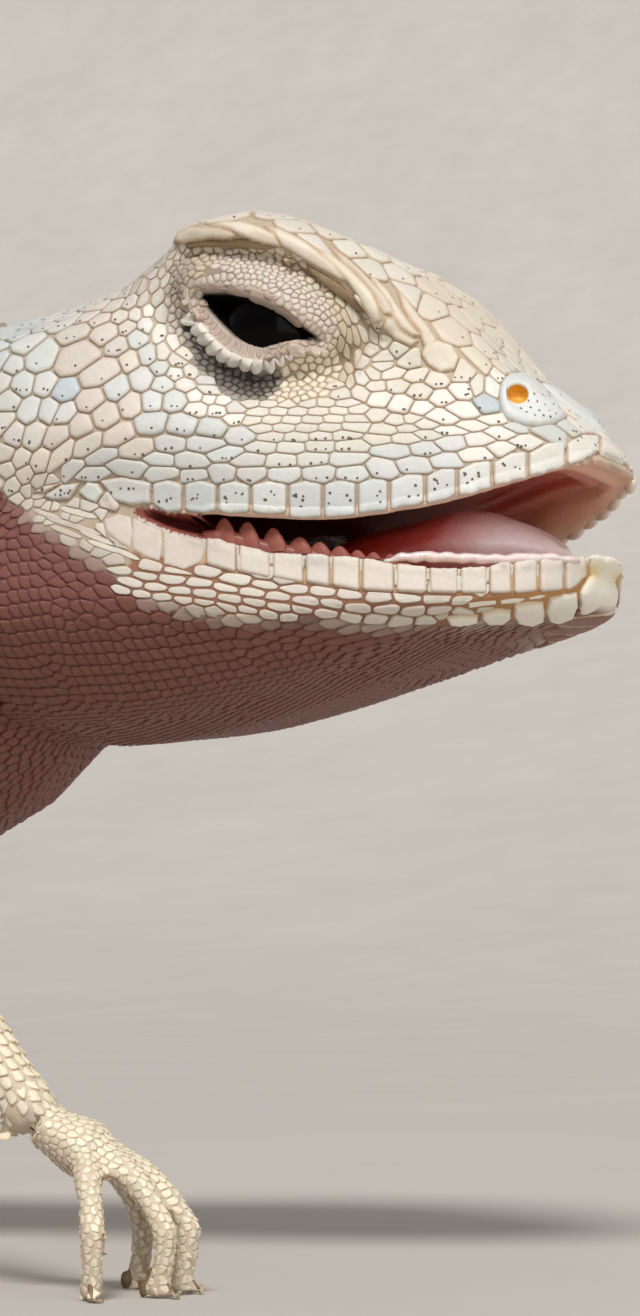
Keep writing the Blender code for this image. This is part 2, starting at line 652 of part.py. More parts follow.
def make_limbs(body):
    """The four limbs, each upper piece cut back to the body it grows from."""
    limbs = (("right", -1, RIGHT_ARM, "hand", 25.0), ("left", 1, LEFT_ARM, "hand", -10.0),
             ("right", -1, RIGHT_LEG, "foot", -38.0), ("left", 1, LEFT_LEG, "foot", 30.0))
    for side_name, side, joints, end, heading in limbs:
        first, second = ("upper_arm", "forearm") if end == "hand" else ("thigh", "shin")
        names = (first + "_" + side_name, second + "_" + side_name)
        pieces, wrist, entry = limb_pieces(names, joints)
        boolean(pieces[0], [copy_of(node, GAP) for node in body], "DIFFERENCE")
        if end == "hand":
            made = make_hand(end + "_" + side_name, wrist, entry, heading, side, 0.76 * wrist.z)
        else:
            made = make_foot(end + "_" + side_name, wrist, entry, heading, side)
        boolean(made, [copy_of(pieces[1], GAP)], "DIFFERENCE")


def stand_on_origin():
    """Metres, with the origin on the floor under the middle of the whole box."""
    nodes = [obj for obj in bpy.context.scene.objects if obj.type == "MESH"]
    spots = np.array([vert.co[:] for obj in nodes for vert in obj.data.vertices])
    low = spots.min(axis=0)
    high = spots.max(axis=0)
    middle = Vector((0.5 * (low[0] + high[0]), 0.5 * (low[1] + high[1]), low[2]))
    for obj in nodes:
        obj.data.transform(Matrix.Scale(MM, 4) @ Matrix.Translation(-middle))
        obj.data.shade_smooth()
        obj.data.set_sharp_from_angle(angle=math.radians(50))


def clear_scene():
    for obj in list(bpy.data.objects):
        bpy.data.objects.remove(obj)


def main():
    clear_scene()
    make_head()
    make_eyes()
    make_lower_jaw()
    make_tongue()
    body = make_spine()
    make_limbs([body["neck"], body["torso"]])
    stand_on_origin()


main()
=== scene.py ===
import math
import random

import bmesh
import bpy
import numpy as np
from mathutils import Matrix, Vector
from mathutils.bvhtree import BVHTree
from mathutils.kdtree import KDTree


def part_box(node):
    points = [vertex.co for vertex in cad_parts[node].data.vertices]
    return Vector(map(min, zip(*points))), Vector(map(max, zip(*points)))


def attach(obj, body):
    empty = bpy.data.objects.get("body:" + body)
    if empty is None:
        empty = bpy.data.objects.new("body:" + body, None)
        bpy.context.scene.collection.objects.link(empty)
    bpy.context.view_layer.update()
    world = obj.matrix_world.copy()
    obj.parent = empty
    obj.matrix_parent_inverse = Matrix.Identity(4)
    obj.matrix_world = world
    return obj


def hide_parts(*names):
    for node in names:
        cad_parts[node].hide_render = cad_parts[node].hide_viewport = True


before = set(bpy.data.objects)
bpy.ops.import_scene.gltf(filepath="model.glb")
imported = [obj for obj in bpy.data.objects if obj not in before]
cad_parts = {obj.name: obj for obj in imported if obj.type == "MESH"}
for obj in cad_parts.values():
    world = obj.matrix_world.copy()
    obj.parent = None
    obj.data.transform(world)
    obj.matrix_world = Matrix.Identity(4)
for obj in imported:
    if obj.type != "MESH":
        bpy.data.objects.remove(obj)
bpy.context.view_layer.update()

print("frame loaded")

# Everything is worked out in millimetres, with x = 0 at the snout tip, y = 0 in the middle
# of the head and z = 0 on the floor. The animal's right side is at -y and faces the camera.
headLow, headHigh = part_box("head")
toFrame = Matrix.Translation((headHigh.x + 0.0005, (headLow.y + headHigh.y) / 2, 0)) @ Matrix.Scale(0.001, 4)
toWork = toFrame.inverted()

view = {
    "azimuth": 25,                      # degrees that the camera stands ahead of a plain side view
    "tilt": 6,                          # degrees that it looks up
    "place": (37.301, -104.775, 8.8),
    "focal": 3315,                      # in pixels of the 640 x 1316 picture
    "middle": (320, 658),
    "longSide": 1316,
}

azimuth, tilt = math.radians(view["azimuth"]), math.radians(view["tilt"])
ahead = Vector((-math.sin(azimuth) * math.cos(tilt), math.cos(azimuth) * math.cos(tilt), math.sin(tilt)))
rightward = Vector((math.cos(azimuth), math.sin(azimuth), 0))
upward = rightward.cross(ahead)
cameraPlace = Vector(view["place"])
pixelsPerMm = 30.5                      # on the near cheek


def pictureSpot(places):
    # where points of the near side, or of the far side mirrored, lie in the picture
    near = np.array(places, float).reshape(-1, 3)
    near[:, 1] = -np.abs(near[:, 1])
    offset = near - np.array(cameraPlace)
    depth = offset @ np.array(ahead)
    across = view["middle"][0] + view["focal"] * (offset @ np.array(rightward)) / depth
    down = view["middle"][1] - view["focal"] * (offset @ np.array(upward)) / depth
    return np.stack([across, down], axis=1)


def pictureRay(x, y):
    across = (x - view["middle"][0]) / view["focal"]
    up = (view["middle"][1] - y) / view["focal"]
    return (ahead + rightward * across + upward * up).normalized()


def awayFrom(spots, line, closed):
    # distance of picture spots from a line of spots, in millimetres on the near cheek
    corners = np.array(line, float)
    ends = np.roll(corners, -1, axis=0) if closed else corners[1:]
    best = np.full(len(spots), 1e9)
    for start, end in zip(corners, ends):
        side = end - start
        share = np.clip(((spots - start) @ side) / (side @ side), 0, 1)
        best = np.minimum(best, np.linalg.norm(spots - start - share[:, None] * side, axis=1))
    return best / pixelsPerMm


def inside(spots, outline):
    # which of the picture spots lie inside an outline
    found = np.zeros(len(spots), bool)
    corners = np.array(outline, float)
    for (ax, ay), (bx, by) in zip(corners, np.roll(corners, -1, axis=0)):
        crosses = (ay > spots[:, 1]) != (by > spots[:, 1])
        edge = ax + (spots[:, 1] - ay) * (bx - ax) / (by - ay + 1e-9)
        found ^= crosses & (spots[:, 0] < edge)
    return found


def curveAt(knots, where):
    return float(np.interp(where, [k[0] for k in knots], [k[1] for k in knots]))


def unit(value):
    return min(1, max(0, value))


def evenOut(made, verts, rounds=1, factor=0.5):
    for _ in range(rounds):
        bmesh.ops.smooth_vert(made, verts=verts, factor=factor, use_axis_x=True, use_axis_y=True, use_axis_z=True)


def edgesAmong(made, verts):
    return [e for e in made.edges if e.verts[0] in verts and e.verts[1] in verts]


def addObject(name, data):
    made = bpy.data.objects.new(name, data)
    bpy.context.scene.collection.objects.link(made)
    return made


def linear(red, green, blue):
    # colours are written as they look on a screen, 0 to 255
    return tuple(((c / 255 + 0.055) / 1.055) ** 2.4 if c > 10 else c / 3295 for c in (red, green, blue))


mouth = {
    "lip": ((0.35, 1.3), (0.8, 2.5), (1.4, 3.3), (2.2, 4.15), (3.2, 4.85), (4.8, 5.6), (8, 7), (12, 8), (16, 8.5)),
    "upperRim": ((0.35, 27), (1.1, 26.75), (2, 26.3), (3.2, 25.85), (4.8, 25.35), (8, 24.85), (12.2, 25.15),
                 (14.7, 25.8), (16, 25.95)),
    "lowerRim": ((0.45, 23.55), (2.4, 23.35), (6.8, 23.5), (10, 23.7), (12.2, 24.35), (14.7, 25.45), (16, 25.65)),
    "roof": ((0.35, 0), (1, 0), (1.8, 0.4), (3.2, 1.3), (6, 2), (11, 1.8), (14.5, 0.8), (17, 0)),
    "floor": ((1.2, 0), (2.2, 0.6), (4, 1), (8, 1.2), (12, 1.4), (14.5, 0.9), (17, 0)),
    "end": 17.6,
    "rimTint": linear(226, 192, 170),
    # the lining is its own pale orange, lightened further as painted light where the scene brings little light into the
    # mouth; deep is its own red darkened by painted shade, and dark is painted shade at the back of the mouth and in
    # the open corner
    "lining": linear(242, 188, 156),
    "deep": linear(202, 94, 72),
    "dark": linear(112, 28, 22),
    # the open corner between the lips, in the picture
    "gap": ((137, 512), (152, 511), (168, 515), (198, 517.5), (222, 519), (222, 538), (205, 536), (180, 531),
            (163, 525), (146, 517)),
}

eye = {
    "centre": Vector((-10.85, -5.05, 31.5)),
    "radius": 1.86,
    "lids": Vector((2.95, 2.5, 2.6)),
    # how far the lid stands out (mm) against the distance from the opening (mm)
    "lowerShape": ((-0.5, -1.5), (-0.1, -0.9), (0, -0.5), (0.25, -0.28), (0.5, 0.05), (0.6, 0.0), (0.78, -0.42),
                   (1.15, -0.5), (1.5, -0.3), (1.9, 0)),
    "upperShape": ((-0.5, -1.5), (-0.1, -0.8), (0, -0.4), (0.12, -0.1), (0.3, 0.08), (0.7, 0.12), (0.95, -0.02),
                   (1.2, -0.42), (1.6, -0.45), (2.0, -0.1), (2.3, 0)),
    "brow": ((178, 238), (203, 233), (232, 234), (262, 236), (290, 246), (320, 262), (347, 281), (368, 303),
             (385, 325)),
    "browHeight": 0.26,
    "browSink": 0.24,
    "opening": ((201, 295), (225, 294), (257, 300), (280, 310), (300, 326), (315, 337), (290, 336), (270, 341),
                (258, 344), (247, 341), (235, 335), (222, 322), (210, 309)),
}

nostrilHole = (517, 396)
nostrilGround = ((503, 396), (505, 385), (512, 380), (520, 378), (532, 386), (545, 400), (560, 416), (550, 421),
                 (521, 421), (508, 415))
ear = {"centre": Vector((-21.0, -8.2, 28.6)), "size": Vector((1.0, 0.9, 1.45))}

limbs = {
    "arm_right": ((-36, -5.5, 19), (-32, -9.5, 18.6), (-23.8, -14.5, 15.7), (-18.6, -14.6, 10), (-14.5, -14.5, 5.3)),
    "arm_left": ((-36, 5.5, 19), (-38.5, 10, 18.2), (-46.5, 13.5, 13.6), (-45.2, 16, 8.8), (-43.4, 18.6, 4.6)),
    "leg_right": ((-80, -3.5, 8.8), (-77, -9, 9.6), (-69.5, -18.5, 12.2), (-76.5, -21.5, 8.2), (-84.5, -24.5, 3.3)),
    "leg_left": ((-80, 3.5, 8.8), (-76, 9, 9.8), (-65, 16.5, 12.4), (-70.5, 20, 8.2), (-77, 23.5, 3.3)),
}

spineNodes = ["neck", "torso", "tail_1", "tail_2", "tail_3", "tail_4"]
limbNodes = {
    "arm_right": ["upper_arm_right", "forearm_right", "hand_right"],
    "arm_left": ["upper_arm_left", "forearm_left", "hand_left"],
    "leg_right": ["thigh_right", "shin_right", "foot_right"],
    "leg_left": ["thigh_left", "shin_left", "foot_left"],
}
endNodes = ["hand_right", "hand_left", "foot_right", "foot_left"]
fleshNodes = spineNodes + sum(limbNodes.values(), [])


def newBmesh(names):
    # a merged copy of CAD nodes, in working millimetres
    made = bmesh.new()
    for name in names:
        first = len(made.verts)
        made.from_mesh(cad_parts[name].data)
        made.verts.ensure_lookup_table()
        bmesh.ops.transform(made, matrix=toWork, verts=made.verts[first:])
        if name == "lower_jaw":
            # the teeth are a piece of their own, so the jaw's rim is plain
            for vert in made.verts[first:]:
                if teeth["first"] - 0.8 < -vert.co.x < teeth["last"] + 0.8:
                    vert.co.z = min(vert.co.z, curveAt(mouth["lowerRim"], -vert.co.x))
    bmesh.ops.remove_doubles(made, verts=made.verts, dist=0.001)
    return made


def swell(made, distance):
    made.normal_update()
    for vert, normal in [(v, v.normal.copy()) for v in made.verts]:
        vert.co += normal * distance(vert.co, normal)


def voxelSkin(made, voxel, rounds):
    mesh = bpy.data.meshes.new("work")
    made.to_mesh(mesh)
    made.free()
    work = addObject("work", mesh)
    remesh = work.modifiers.new("remesh", "REMESH")
    remesh.mode = "VOXEL"
    remesh.voxel_size = voxel
    bpy.context.view_layer.update()
    evaluated = work.evaluated_get(bpy.context.evaluated_depsgraph_get())
    made = bmesh.new()
    made.from_mesh(evaluated.to_mesh())
    evaluated.to_mesh_clear()
    bpy.data.objects.remove(work)
    bpy.data.meshes.remove(mesh)
    evenOut(made, made.verts, rounds)
    return made


def cutAway(made, faces, place, toward):
    edges = {edge for face in faces for edge in face.edges}
    verts = {vert for face in faces for vert in face.verts}
    bmesh.ops.bisect_plane(made, geom=list(verts) + list(edges) + list(faces), plane_co=place,
                           plane_no=toward, clear_outer=True)


def inMouth(place, normal):
    # true on the lining and on the undersides of the lips, and how deep the point lies behind the rim
    back = -place.x
    if not 0.3 < back < mouth["end"]:
        return False, 0
    lip = curveAt(mouth["lip"], back)
    upper, lower = curveAt(mouth["upperRim"], back), curveAt(mouth["lowerRim"], back)
    if place.z > upper + curveAt(mouth["roof"], back) + 0.9 or place.z < lower - curveAt(mouth["floor"], back) - 0.7:
        return False, 0
    if abs(place.y) > lip + 0.2:
        return False, 0
    centre = Vector((-max(back, 4), 0, (upper + lower) / 2))
    if normal.dot(place - centre) > 0:
        return False, 0
    return True, min(lip - abs(place.y), (back - 0.4) * 1.1)


teeth = {
    "first": 5.6, "last": 13.6, "inset": 0.8,
    # tips in the picture, half width and height in mm
    "tips": ((224, 518, 0.44, 0.75), (247, 522, 0.44, 0.7), (273, 528, 0.44, 0.62), (299, 537, 0.42, 0.45),
             (319, 542, 0.38, 0.36), (339, 546, 0.34, 0.3), (357, 550, 0.26, 0.22), (373, 552, 0.24, 0.2),
             (390, 554, 0.22, 0.16), (408, 555, 0.2, 0.14)),
    # the crest of the gum in the picture
    "gum": ((196, 532), (206, 529), (218, 528), (232, 530), (246, 534), (260, 538), (274, 541), (288, 544), (310, 547),
            (331, 551), (348, 553.5), (365, 555), (385, 557), (405, 559), (420, 562)),
}


skinLook = {
    "grow": 0.3,               # closes the gaps between the solids before they are joined
    "headVoxel": 0.19,
    "bodyVoxel": 0.38,
    "endVoxel": 0.17,
    "coat": 0.17,              # depth of the scales over the skin
    "endCoat": 0.07,           # the same on fingers and toes
    "join": 26.0,              # the two skins overlap a little under the neck's scales
    "rimReaches": (0.5, 0.8, 1.1, 1.4),    # how far (mm) each rounding of the lips' rims goes
    "lipRounds": 12,           # of smoothing on the lower lip's outer face and the chin's tip
}


def carveHead(made):
    # opens the lids, sinks the skin round them and raises the brow
    made.normal_update()
    around = [v for v in made.verts if (Vector((v.co.x, -abs(v.co.y), v.co.z)) - eye["centre"]).length < 4]
    gaps = awayFrom(pictureSpot([v.co for v in around]), eye["opening"], True)
    close = {v for v, gap in zip(around, gaps) if gap < 0.75}
    edges = edgesAmong(made, close)
    bmesh.ops.triangulate(made, faces=list({f for e in edges for f in e.link_faces}))
    edges = edgesAmong(made, close)
    bmesh.ops.subdivide_edges(made, edges=edges, cuts=2, use_grid_fill=True)
    made.normal_update()
    near = [v for v in made.verts if (Vector((v.co.x, -abs(v.co.y), v.co.z)) - eye["centre"]).length < 5.5]
    spots = pictureSpot([v.co for v in near])
    away = awayFrom(spots, eye["opening"], True)
    away = np.where(inside(spots, eye["opening"]), -away, away)
    rear, front = np.array(eye["opening"][0]), np.array(eye["opening"][5])
    axis = (front - rear) / np.linalg.norm(front - rear)
    below = ((spots - rear) @ np.array((-axis[1], axis[0]))) / pixelsPerMm
    browAway = awayFrom(spots, eye["brow"], False)
    underAway = awayFrom(spots, np.array(eye["brow"]) + (-5, 14), False)
    for vert, gap, low, brow, under in zip(near, away, below, browAway, underAway):
        if abs(vert.co.y) < 3.4:
            continue
        share = unit(low / 0.5 + 0.5)
        rise = curveAt(eye["lowerShape"], gap) * share + curveAt(eye["upperShape"], gap) * (1 - share)
        ridge = eye["browHeight"] * math.exp(-(brow / 0.24) ** 2) - eye["browSink"] * math.exp(-(under / 0.2) ** 2)
        outward = Vector((0.12, math.copysign(1, vert.co.y), 0.05)).normalized()
        vert.co += outward * rise * unit((abs(vert.co.y) - 4.6) / 0.8) + vert.normal * ridge
    for vert in made.verts:
        back = -vert.co.x
        isMouth, deep = inMouth(vert.co, vert.normal)
        if isMouth and vert.normal.z < 0 and 0.4 < deep < 3 and back < 9:
            # low folds that follow the lip
            wave = math.sin(6.5 * deep + 0.7 * math.sin(back * 1.3))
            vert.co += vert.normal * 0.09 * wave * min(1, (deep - 0.4) * 2, (9 - back) / 3)
        if 0.3 < back < 15.8 and abs(vert.co.y) > curveAt(mouth["lip"], back) - 1.4:
            upper, lower = curveAt(mouth["upperRim"], back), curveAt(mouth["lowerRim"], back)
            if lower - 1.2 < vert.co.z < (upper + lower) / 2:
                drop = 0.1 * min(1, back / 2) + max(0, 0.2 * math.sin(math.pi * (back - 11.5) / 4.3))
                vert.co.z -= drop * (1 - (lower + 0.2 - vert.co.z) / 1.6)
    evenOut(made, near, factor=0.35)
    for reach in skinLook["rimReaches"]:
        rims = []
        for vert in made.verts:
            back = -vert.co.x
            if 1 < back < 16.5 and abs(vert.co.y) > curveAt(mouth["lip"], back) - 1.2:
                if curveAt(mouth["lowerRim"], back) - reach < vert.co.z < curveAt(mouth["upperRim"], back) + reach:
                    rims.append(vert)
        evenOut(made, rims)
    # the outer face of the lower lip and the tip of the chin are evened more
    face = []
    for vert in made.verts:
        back, rim = -vert.co.x, curveAt(mouth["lowerRim"], -vert.co.x)
        if back < 13 and rim - 1.5 < vert.co.z < rim - 0.1:
            if back < 1.2 or abs(vert.co.y) > curveAt(mouth["lip"], back) - 1.2:
                face.append(vert)
    evenOut(made, face, skinLook["lipRounds"])
    tip = [v for v in made.verts if v.co.x > -1.5 and 21.4 < v.co.z < 23.7]
    evenOut(made, tip, skinLook["lipRounds"])


def addEnds(body, endTree):
    # hands and feet have a finer skin, which runs on under the limb's at the wrist
    rest = newBmesh([name for name in fleshNodes if name not in endNodes])
    restTree = BVHTree.FromBMesh(rest)
    rest.free()

    def reach(tree, place):
        found = tree.find_nearest(place, 3)[3]
        return 9 if found is None else found

    gone = []
    for face in body.faces:
        middle = face.calc_center_median()
        away = reach(endTree, middle)
        if away < 1 and away < reach(restTree, middle) > 0.5:
            gone.append(face)
    bmesh.ops.delete(body, geom=gone, context="FACES")
    # each skin dips under the other where they cross
    for vert in [v for v in body.verts if reach(endTree, v.co) < 1]:
        away = reach(restTree, vert.co)
        if reach(endTree, vert.co) < away:
            vert.co -= vert.normal * 0.3 * min(1, away / 0.4)
    fine = newBmesh(endNodes + ["forearm_right", "forearm_left", "shin_right", "shin_left"])
    swell(fine, lambda place, normal: 0.12)
    fine = voxelSkin(fine, skinLook["endVoxel"], 3)
    swell(fine, lambda place, normal: -0.12 - skinLook["endCoat"])
    gone = []
    for face in fine.faces:
        middle = face.calc_center_median()
        away = reach(endTree, middle)
        if away > 0.9 and reach(restTree, middle) < away:
            gone.append(face)
    bmesh.ops.delete(fine, geom=gone, context="FACES")
    for vert in fine.verts:
        away = reach(endTree, vert.co)
        if away > reach(restTree, vert.co):
            vert.co -= vert.normal * 0.35 * min(1, max(0, away - 0.1) / 0.7)
    mesh = bpy.data.meshes.new("work")
    fine.to_mesh(mesh)
    fine.free()
    body.from_mesh(mesh)
    bpy.data.meshes.remove(mesh)


def buildSkins():
    ends = newBmesh(endNodes)
    endTree = BVHTree.FromBMesh(ends)
    ends.free()

    def headOut(place, normal):
        return 0.0 if inMouth(place, normal)[0] else skinLook["grow"]

    def headIn(place, normal):
        return 0.0 if inMouth(place, normal)[0] else -skinLook["grow"] - skinLook["coat"]

    def bodyIn(place, normal):
        near = endTree.find_nearest(place, 1.2)[0]
        return -skinLook["grow"] - (skinLook["endCoat"] if near else skinLook["coat"])

    head = newBmesh(["head", "lower_jaw", "neck"])
    swell(head, headOut)
    for side in (1, -1):
        # closed lids, which are opened again below
        ball = bmesh.ops.create_uvsphere(head, u_segments=40, v_segments=24, radius=1)
        bmesh.ops.scale(head, verts=ball["verts"], vec=eye["lids"] + Vector((0.28, 0.28, 0.28)))
        bmesh.ops.translate(head, verts=ball["verts"], vec=eye["centre"] * Vector((1, side, 1)))
    head = voxelSkin(head, skinLook["headVoxel"], 5)
    swell(head, headIn)
    carveHead(head)
    cutAway(head, head.faces, (-skinLook["join"] - 1.6, 0, 24), (-1, 0, 0.15))
    body = newBmesh(fleshNodes)
    swell(body, lambda place, normal: skinLook["grow"])
    body = voxelSkin(body, skinLook["bodyVoxel"], 4)
    swell(body, bodyIn)
    addEnds(body, endTree)
    neckFaces = [f for f in body.faces if abs(f.calc_center_median().y) < 10.8 and f.calc_center_median().z > 12]
    cutAway(body, neckFaces, (-skinLook["join"], 0, 24), (1, 0, -0.15))
    for made in (head, body):
        bmesh.ops.triangulate(made, faces=made.faces)
        made.normal_update()
    print("skins", len(head.faces), len(body.faces), "triangles")
    return head, body


headSkin, bodySkin = buildSkins()
headTree = BVHTree.FromBMesh(headSkin)
bodyTree = BVHTree.FromBMesh(bodySkin)


def onSkin(x, y):
    # the point of the near side of the head under a pixel of the picture
    place, normal, _, _ = headTree.ray_cast(cameraPlace, pictureRay(x, y))
    return place, normal


def nearestSkin(place):
    best = headTree.find_nearest(place, 3) if place.x > -skinLook["join"] - 1.5 else (None,)
    if best[0] is None:
        best = bodyTree.find_nearest(place, 3)
    return best[0], best[1]


tints = {
    "cream": linear(227, 221, 208),
    "smooth": linear(232, 223, 206),
    "blue": linear(217, 220, 217),
    "blueDeep": linear(202, 212, 217),
    "pink": linear(222, 214, 205),
    "white": linear(240, 237, 230),
    "yellow": linear(232, 223, 202),
    "shade": linear(208, 196, 172),
    # granules under the lower lid: partly their own dark tone, partly painted shade of the recess below the lid's
    # fringe
    "dark": linear(80, 69, 62),
    "grey": linear(182, 173, 162),
    "pale": linear(224, 220, 207),
    "chin": linear(248, 244, 232),
    "row": linear(220, 212, 202),
    # painted shade: dark mauve for the scales turning under the jaw
    "mauveInShade": linear(118, 82, 77),
    # the lower lid's fringe is white, and its tint is raised to full white as painted light where it faces down from
    # the sun
    "petal": linear(252, 249, 244),
    # painted shade: the throat under the head, with a reddish tinge of painted ground bounce
    "throat": linear(120, 63, 53),
    "jaw": linear(216, 206, 196),
    "lid": linear(184, 166, 152),
    # painted shade: the brow strips that lie in the shadow under the ridge are tinted darker
    "brow": linear(158, 138, 106),
    "sand": linear(214, 198, 168),
    "belly": linear(222, 212, 194),
    "band": linear(172, 146, 116),
    "tail": linear(206, 186, 152),
    "hand": linear(246, 237, 212),
}

# x, y in the picture, size in mm, length over width, slant in degrees, tint
headField = (
    (75, 365, 1.2, 1.5, 10, "pink"), (45, 352, 1.1, 1.3, 15, "blue"), (20, 385, 0.75, 1.1, 30, "blue"),
    (100, 395, 0.98, 1.3, 10, "pink"), (100, 430, 0.95, 1.3, 15, "pink"), (30, 410, 0.82, 1.1, 50, "blue"),
    (30, 440, 0.74, 1.2, 55, "pink"), (15, 470, 0.56, 1.3, 40, "cream"), (60, 455, 0.8, 1.5, 35, "pink"),
    (140, 400, 0.88, 1.1, 0, "blue"), (180, 425, 0.96, 1.4, 0, "blue"), (145, 447, 0.92, 1.5, 5, "pink"),
    (230, 435, 0.78, 1.5, 0, "blue"), (250, 412, 0.5, 1.6, -5, "cream"), (300, 410, 0.48, 1.6, 8, "cream"),
    (210, 403, 0.5, 1.5, -25, "blue"), (150, 380, 0.72, 1.1, -20, "cream"), (172, 372, 0.5, 1.2, -50, "cream"),
    (160, 340, 0.52, 1.6, 80, "white"), (150, 290, 0.46, 1.9, 78, "grey"), (168, 265, 0.3, 1.9, 75, "grey"),
    (130, 315, 0.6, 1.2, 60, "pink"), (100, 325, 0.7, 1.5, 15, "pink"), (60, 325, 0.85, 1.5, 15, "blue"),
    (110, 300, 0.7, 1.4, 15, "pink"), (20, 335, 0.8, 1.4, 15, "blueDeep"), (350, 430, 0.72, 1.6, 8, "cream"),
    (340, 402, 0.5, 1.4, 10, "cream"), (370, 372, 0.46, 1.4, -60, "cream"), (347, 350, 0.42, 2.2, -72, "shade"),
    (400, 402, 0.62, 1.4, 8, "cream"), (430, 404, 0.68, 1.5, 5, "cream"), (410, 436, 0.66, 1.8, 8, "cream"),
    (450, 425, 0.64, 1.9, 12, "blue"), (480, 412, 0.55, 1.5, 0, "blue"), (455, 355, 1.25, 1.2, 60, "smooth"),
    (415, 372, 0.7, 1.2, 20, "cream"), (470, 385, 0.72, 1.1, 60, "smooth"), (440, 300, 1.05, 1.2, -40, "smooth"),
    (485, 330, 1.0, 1.2, -50, "smooth"), (505, 355, 0.8, 1.1, -45, "cream"), (470, 270, 1.15, 1.2, -30, "smooth"),
    (400, 262, 0.95, 1.1, -20, "cream"), (330, 240, 0.95, 1.3, -20, "cream"), (255, 222, 0.95, 1.4, 5, "cream"),
    (205, 225, 0.8, 1.5, 20, "cream"), (560, 405, 0.8, 1.3, -40, "white"), (590, 425, 0.8, 1.2, -40, "white"),
    (540, 370, 0.6, 1.2, -40, "cream"), (612, 440, 1.1, 1.2, -60, "cream"),
    (330, 607, 0.58, 2.0, 4, "pale"), (250, 600, 0.52, 1.6, -12, "pale"), (180, 590, 0.52, 1.6, -15, "pale"),
    (120, 572, 0.45, 1.6, -18, "grey"), (60, 562, 0.42, 1.6, -20, "grey"), (30, 548, 0.42, 1.5, -20, "grey"),
    (10, 520, 0.4, 1.5, 20, "cream"), (45, 505, 0.3, 1.4, 10, "jaw"), (110, 512, 0.5, 1.5, -10, "jaw"),
    (150, 560, 0.6, 1.6, -12, "pale"), (400, 612, 0.55, 2.0, 3, "pale"), (450, 606, 0.5, 1.7, 3, "pale"),
    (450, 636, 0.42, 1.3, 3, "throat"), (500, 634, 0.42, 1.3, 3, "throat"), (490, 604, 0.45, 1.5, 3, "pale"),
    (540, 598, 0.45, 1.5, 3, "pale"), (590, 626, 0.42, 1.2, 3, "throat"), (300, 622, 0.46, 1.6, 3, "mauveInShade"),
    (420, 640, 0.44, 1.3, 10, "throat"), (300, 670, 0.42, 1.2, 12, "throat"), (200, 700, 0.42, 1.2, 12, "throat"),
    (100, 690, 0.42, 1.2, 5, "throat"), (40, 640, 0.42, 1.2, -5, "mauveInShade"), (20, 590, 0.42, 1.3, -15, "mauveInShade"),
    (520, 642, 0.44, 1.3, 12, "throat"), (180, 640, 0.43, 1.3, -8, "mauveInShade"), (560, 640, 0.42, 1.2, 10, "throat"),
    (560, 626, 0.42, 1.2, 5, "throat"),
)

# areas round the eye, each with an outline in the picture
orbitZones = (
    {"size": 0.235, "stretch": 1.0, "slant": 0, "tint": "row", "kind": "bead",
     "outline": ((203, 285), (210, 262), (230, 252), (252, 254), (277, 263), (300, 276), (320, 297), (336, 322),
                 (335, 345), (322, 350), (313, 339), (302, 321), (288, 309), (272, 297), (252, 288), (225, 283))},
    # the granules under the lower lid: their own dark tone with painted shade of the recess
    {"size": 0.27, "stretch": 1.0, "slant": 0, "tint": "dark", "kind": "granule",
     "outline": ((180, 318), (192, 320), (200, 340), (215, 354), (235, 366), (256, 372), (276, 370), (283, 376),
                 (274, 394), (264, 400), (244, 399), (219, 388), (199, 368), (186, 346))},
    {"size": 0.29, "stretch": 1.1, "slant": 60, "tint": "yellow", "kind": "bead",
     "outline": ((283, 376), (296, 360), (315, 350), (336, 345), (338, 378), (320, 398), (295, 408), (266, 402))},
    {"size": 0.4, "stretch": 2.3, "slant": -76, "tint": "shade", "kind": "fold",
     "outline": ((338, 298), (352, 312), (364, 345), (360, 382), (342, 398), (338, 345))},
    {"size": 0.27, "stretch": 1.1, "slant": -30, "tint": "shade", "kind": "bead",
     "outline": ((186, 254), (250, 243), (300, 258), (340, 292), (338, 322), (320, 297), (300, 276), (252, 254),
                 (210, 262), (196, 282))},
    {"size": 0.24, "stretch": 1.3, "slant": 80, "tint": "grey", "kind": "bead",
     "outline": ((172, 262), (186, 254), (196, 282), (192, 320), (182, 346), (172, 330), (168, 295))},
    {"size": 0.24, "stretch": 1.1, "slant": 0, "tint": "lid", "kind": "bead",
     "outline": ((188, 285), (225, 278), (277, 290), (312, 316), (340, 340), (320, 354), (287, 352), (262, 364),
                 (233, 360), (208, 343), (190, 320))},
)

# size in mm, length over width and kind of the scales on the rest of the body
bodyField = {
    "neck": (0.56, 1.2, "lap"), "torso": (0.8, 1.15, "keel"), "tail_1": (0.82, 1.3, "keel"),
    "tail_2": (0.78, 1.4, "keel"), "tail_3": (0.7, 1.5, "keel"), "tail_4": (0.6, 1.6, "keel"),
    "upper_arm": (0.72, 1.2, "keel"), "forearm": (0.46, 1.2, "lap"), "hand": (0.27, 1.15, "fine"),
    "thigh": (0.76, 1.2, "keel"), "shin": (0.72, 1.25, "keel"), "foot": (0.31, 1.2, "fine"),
}

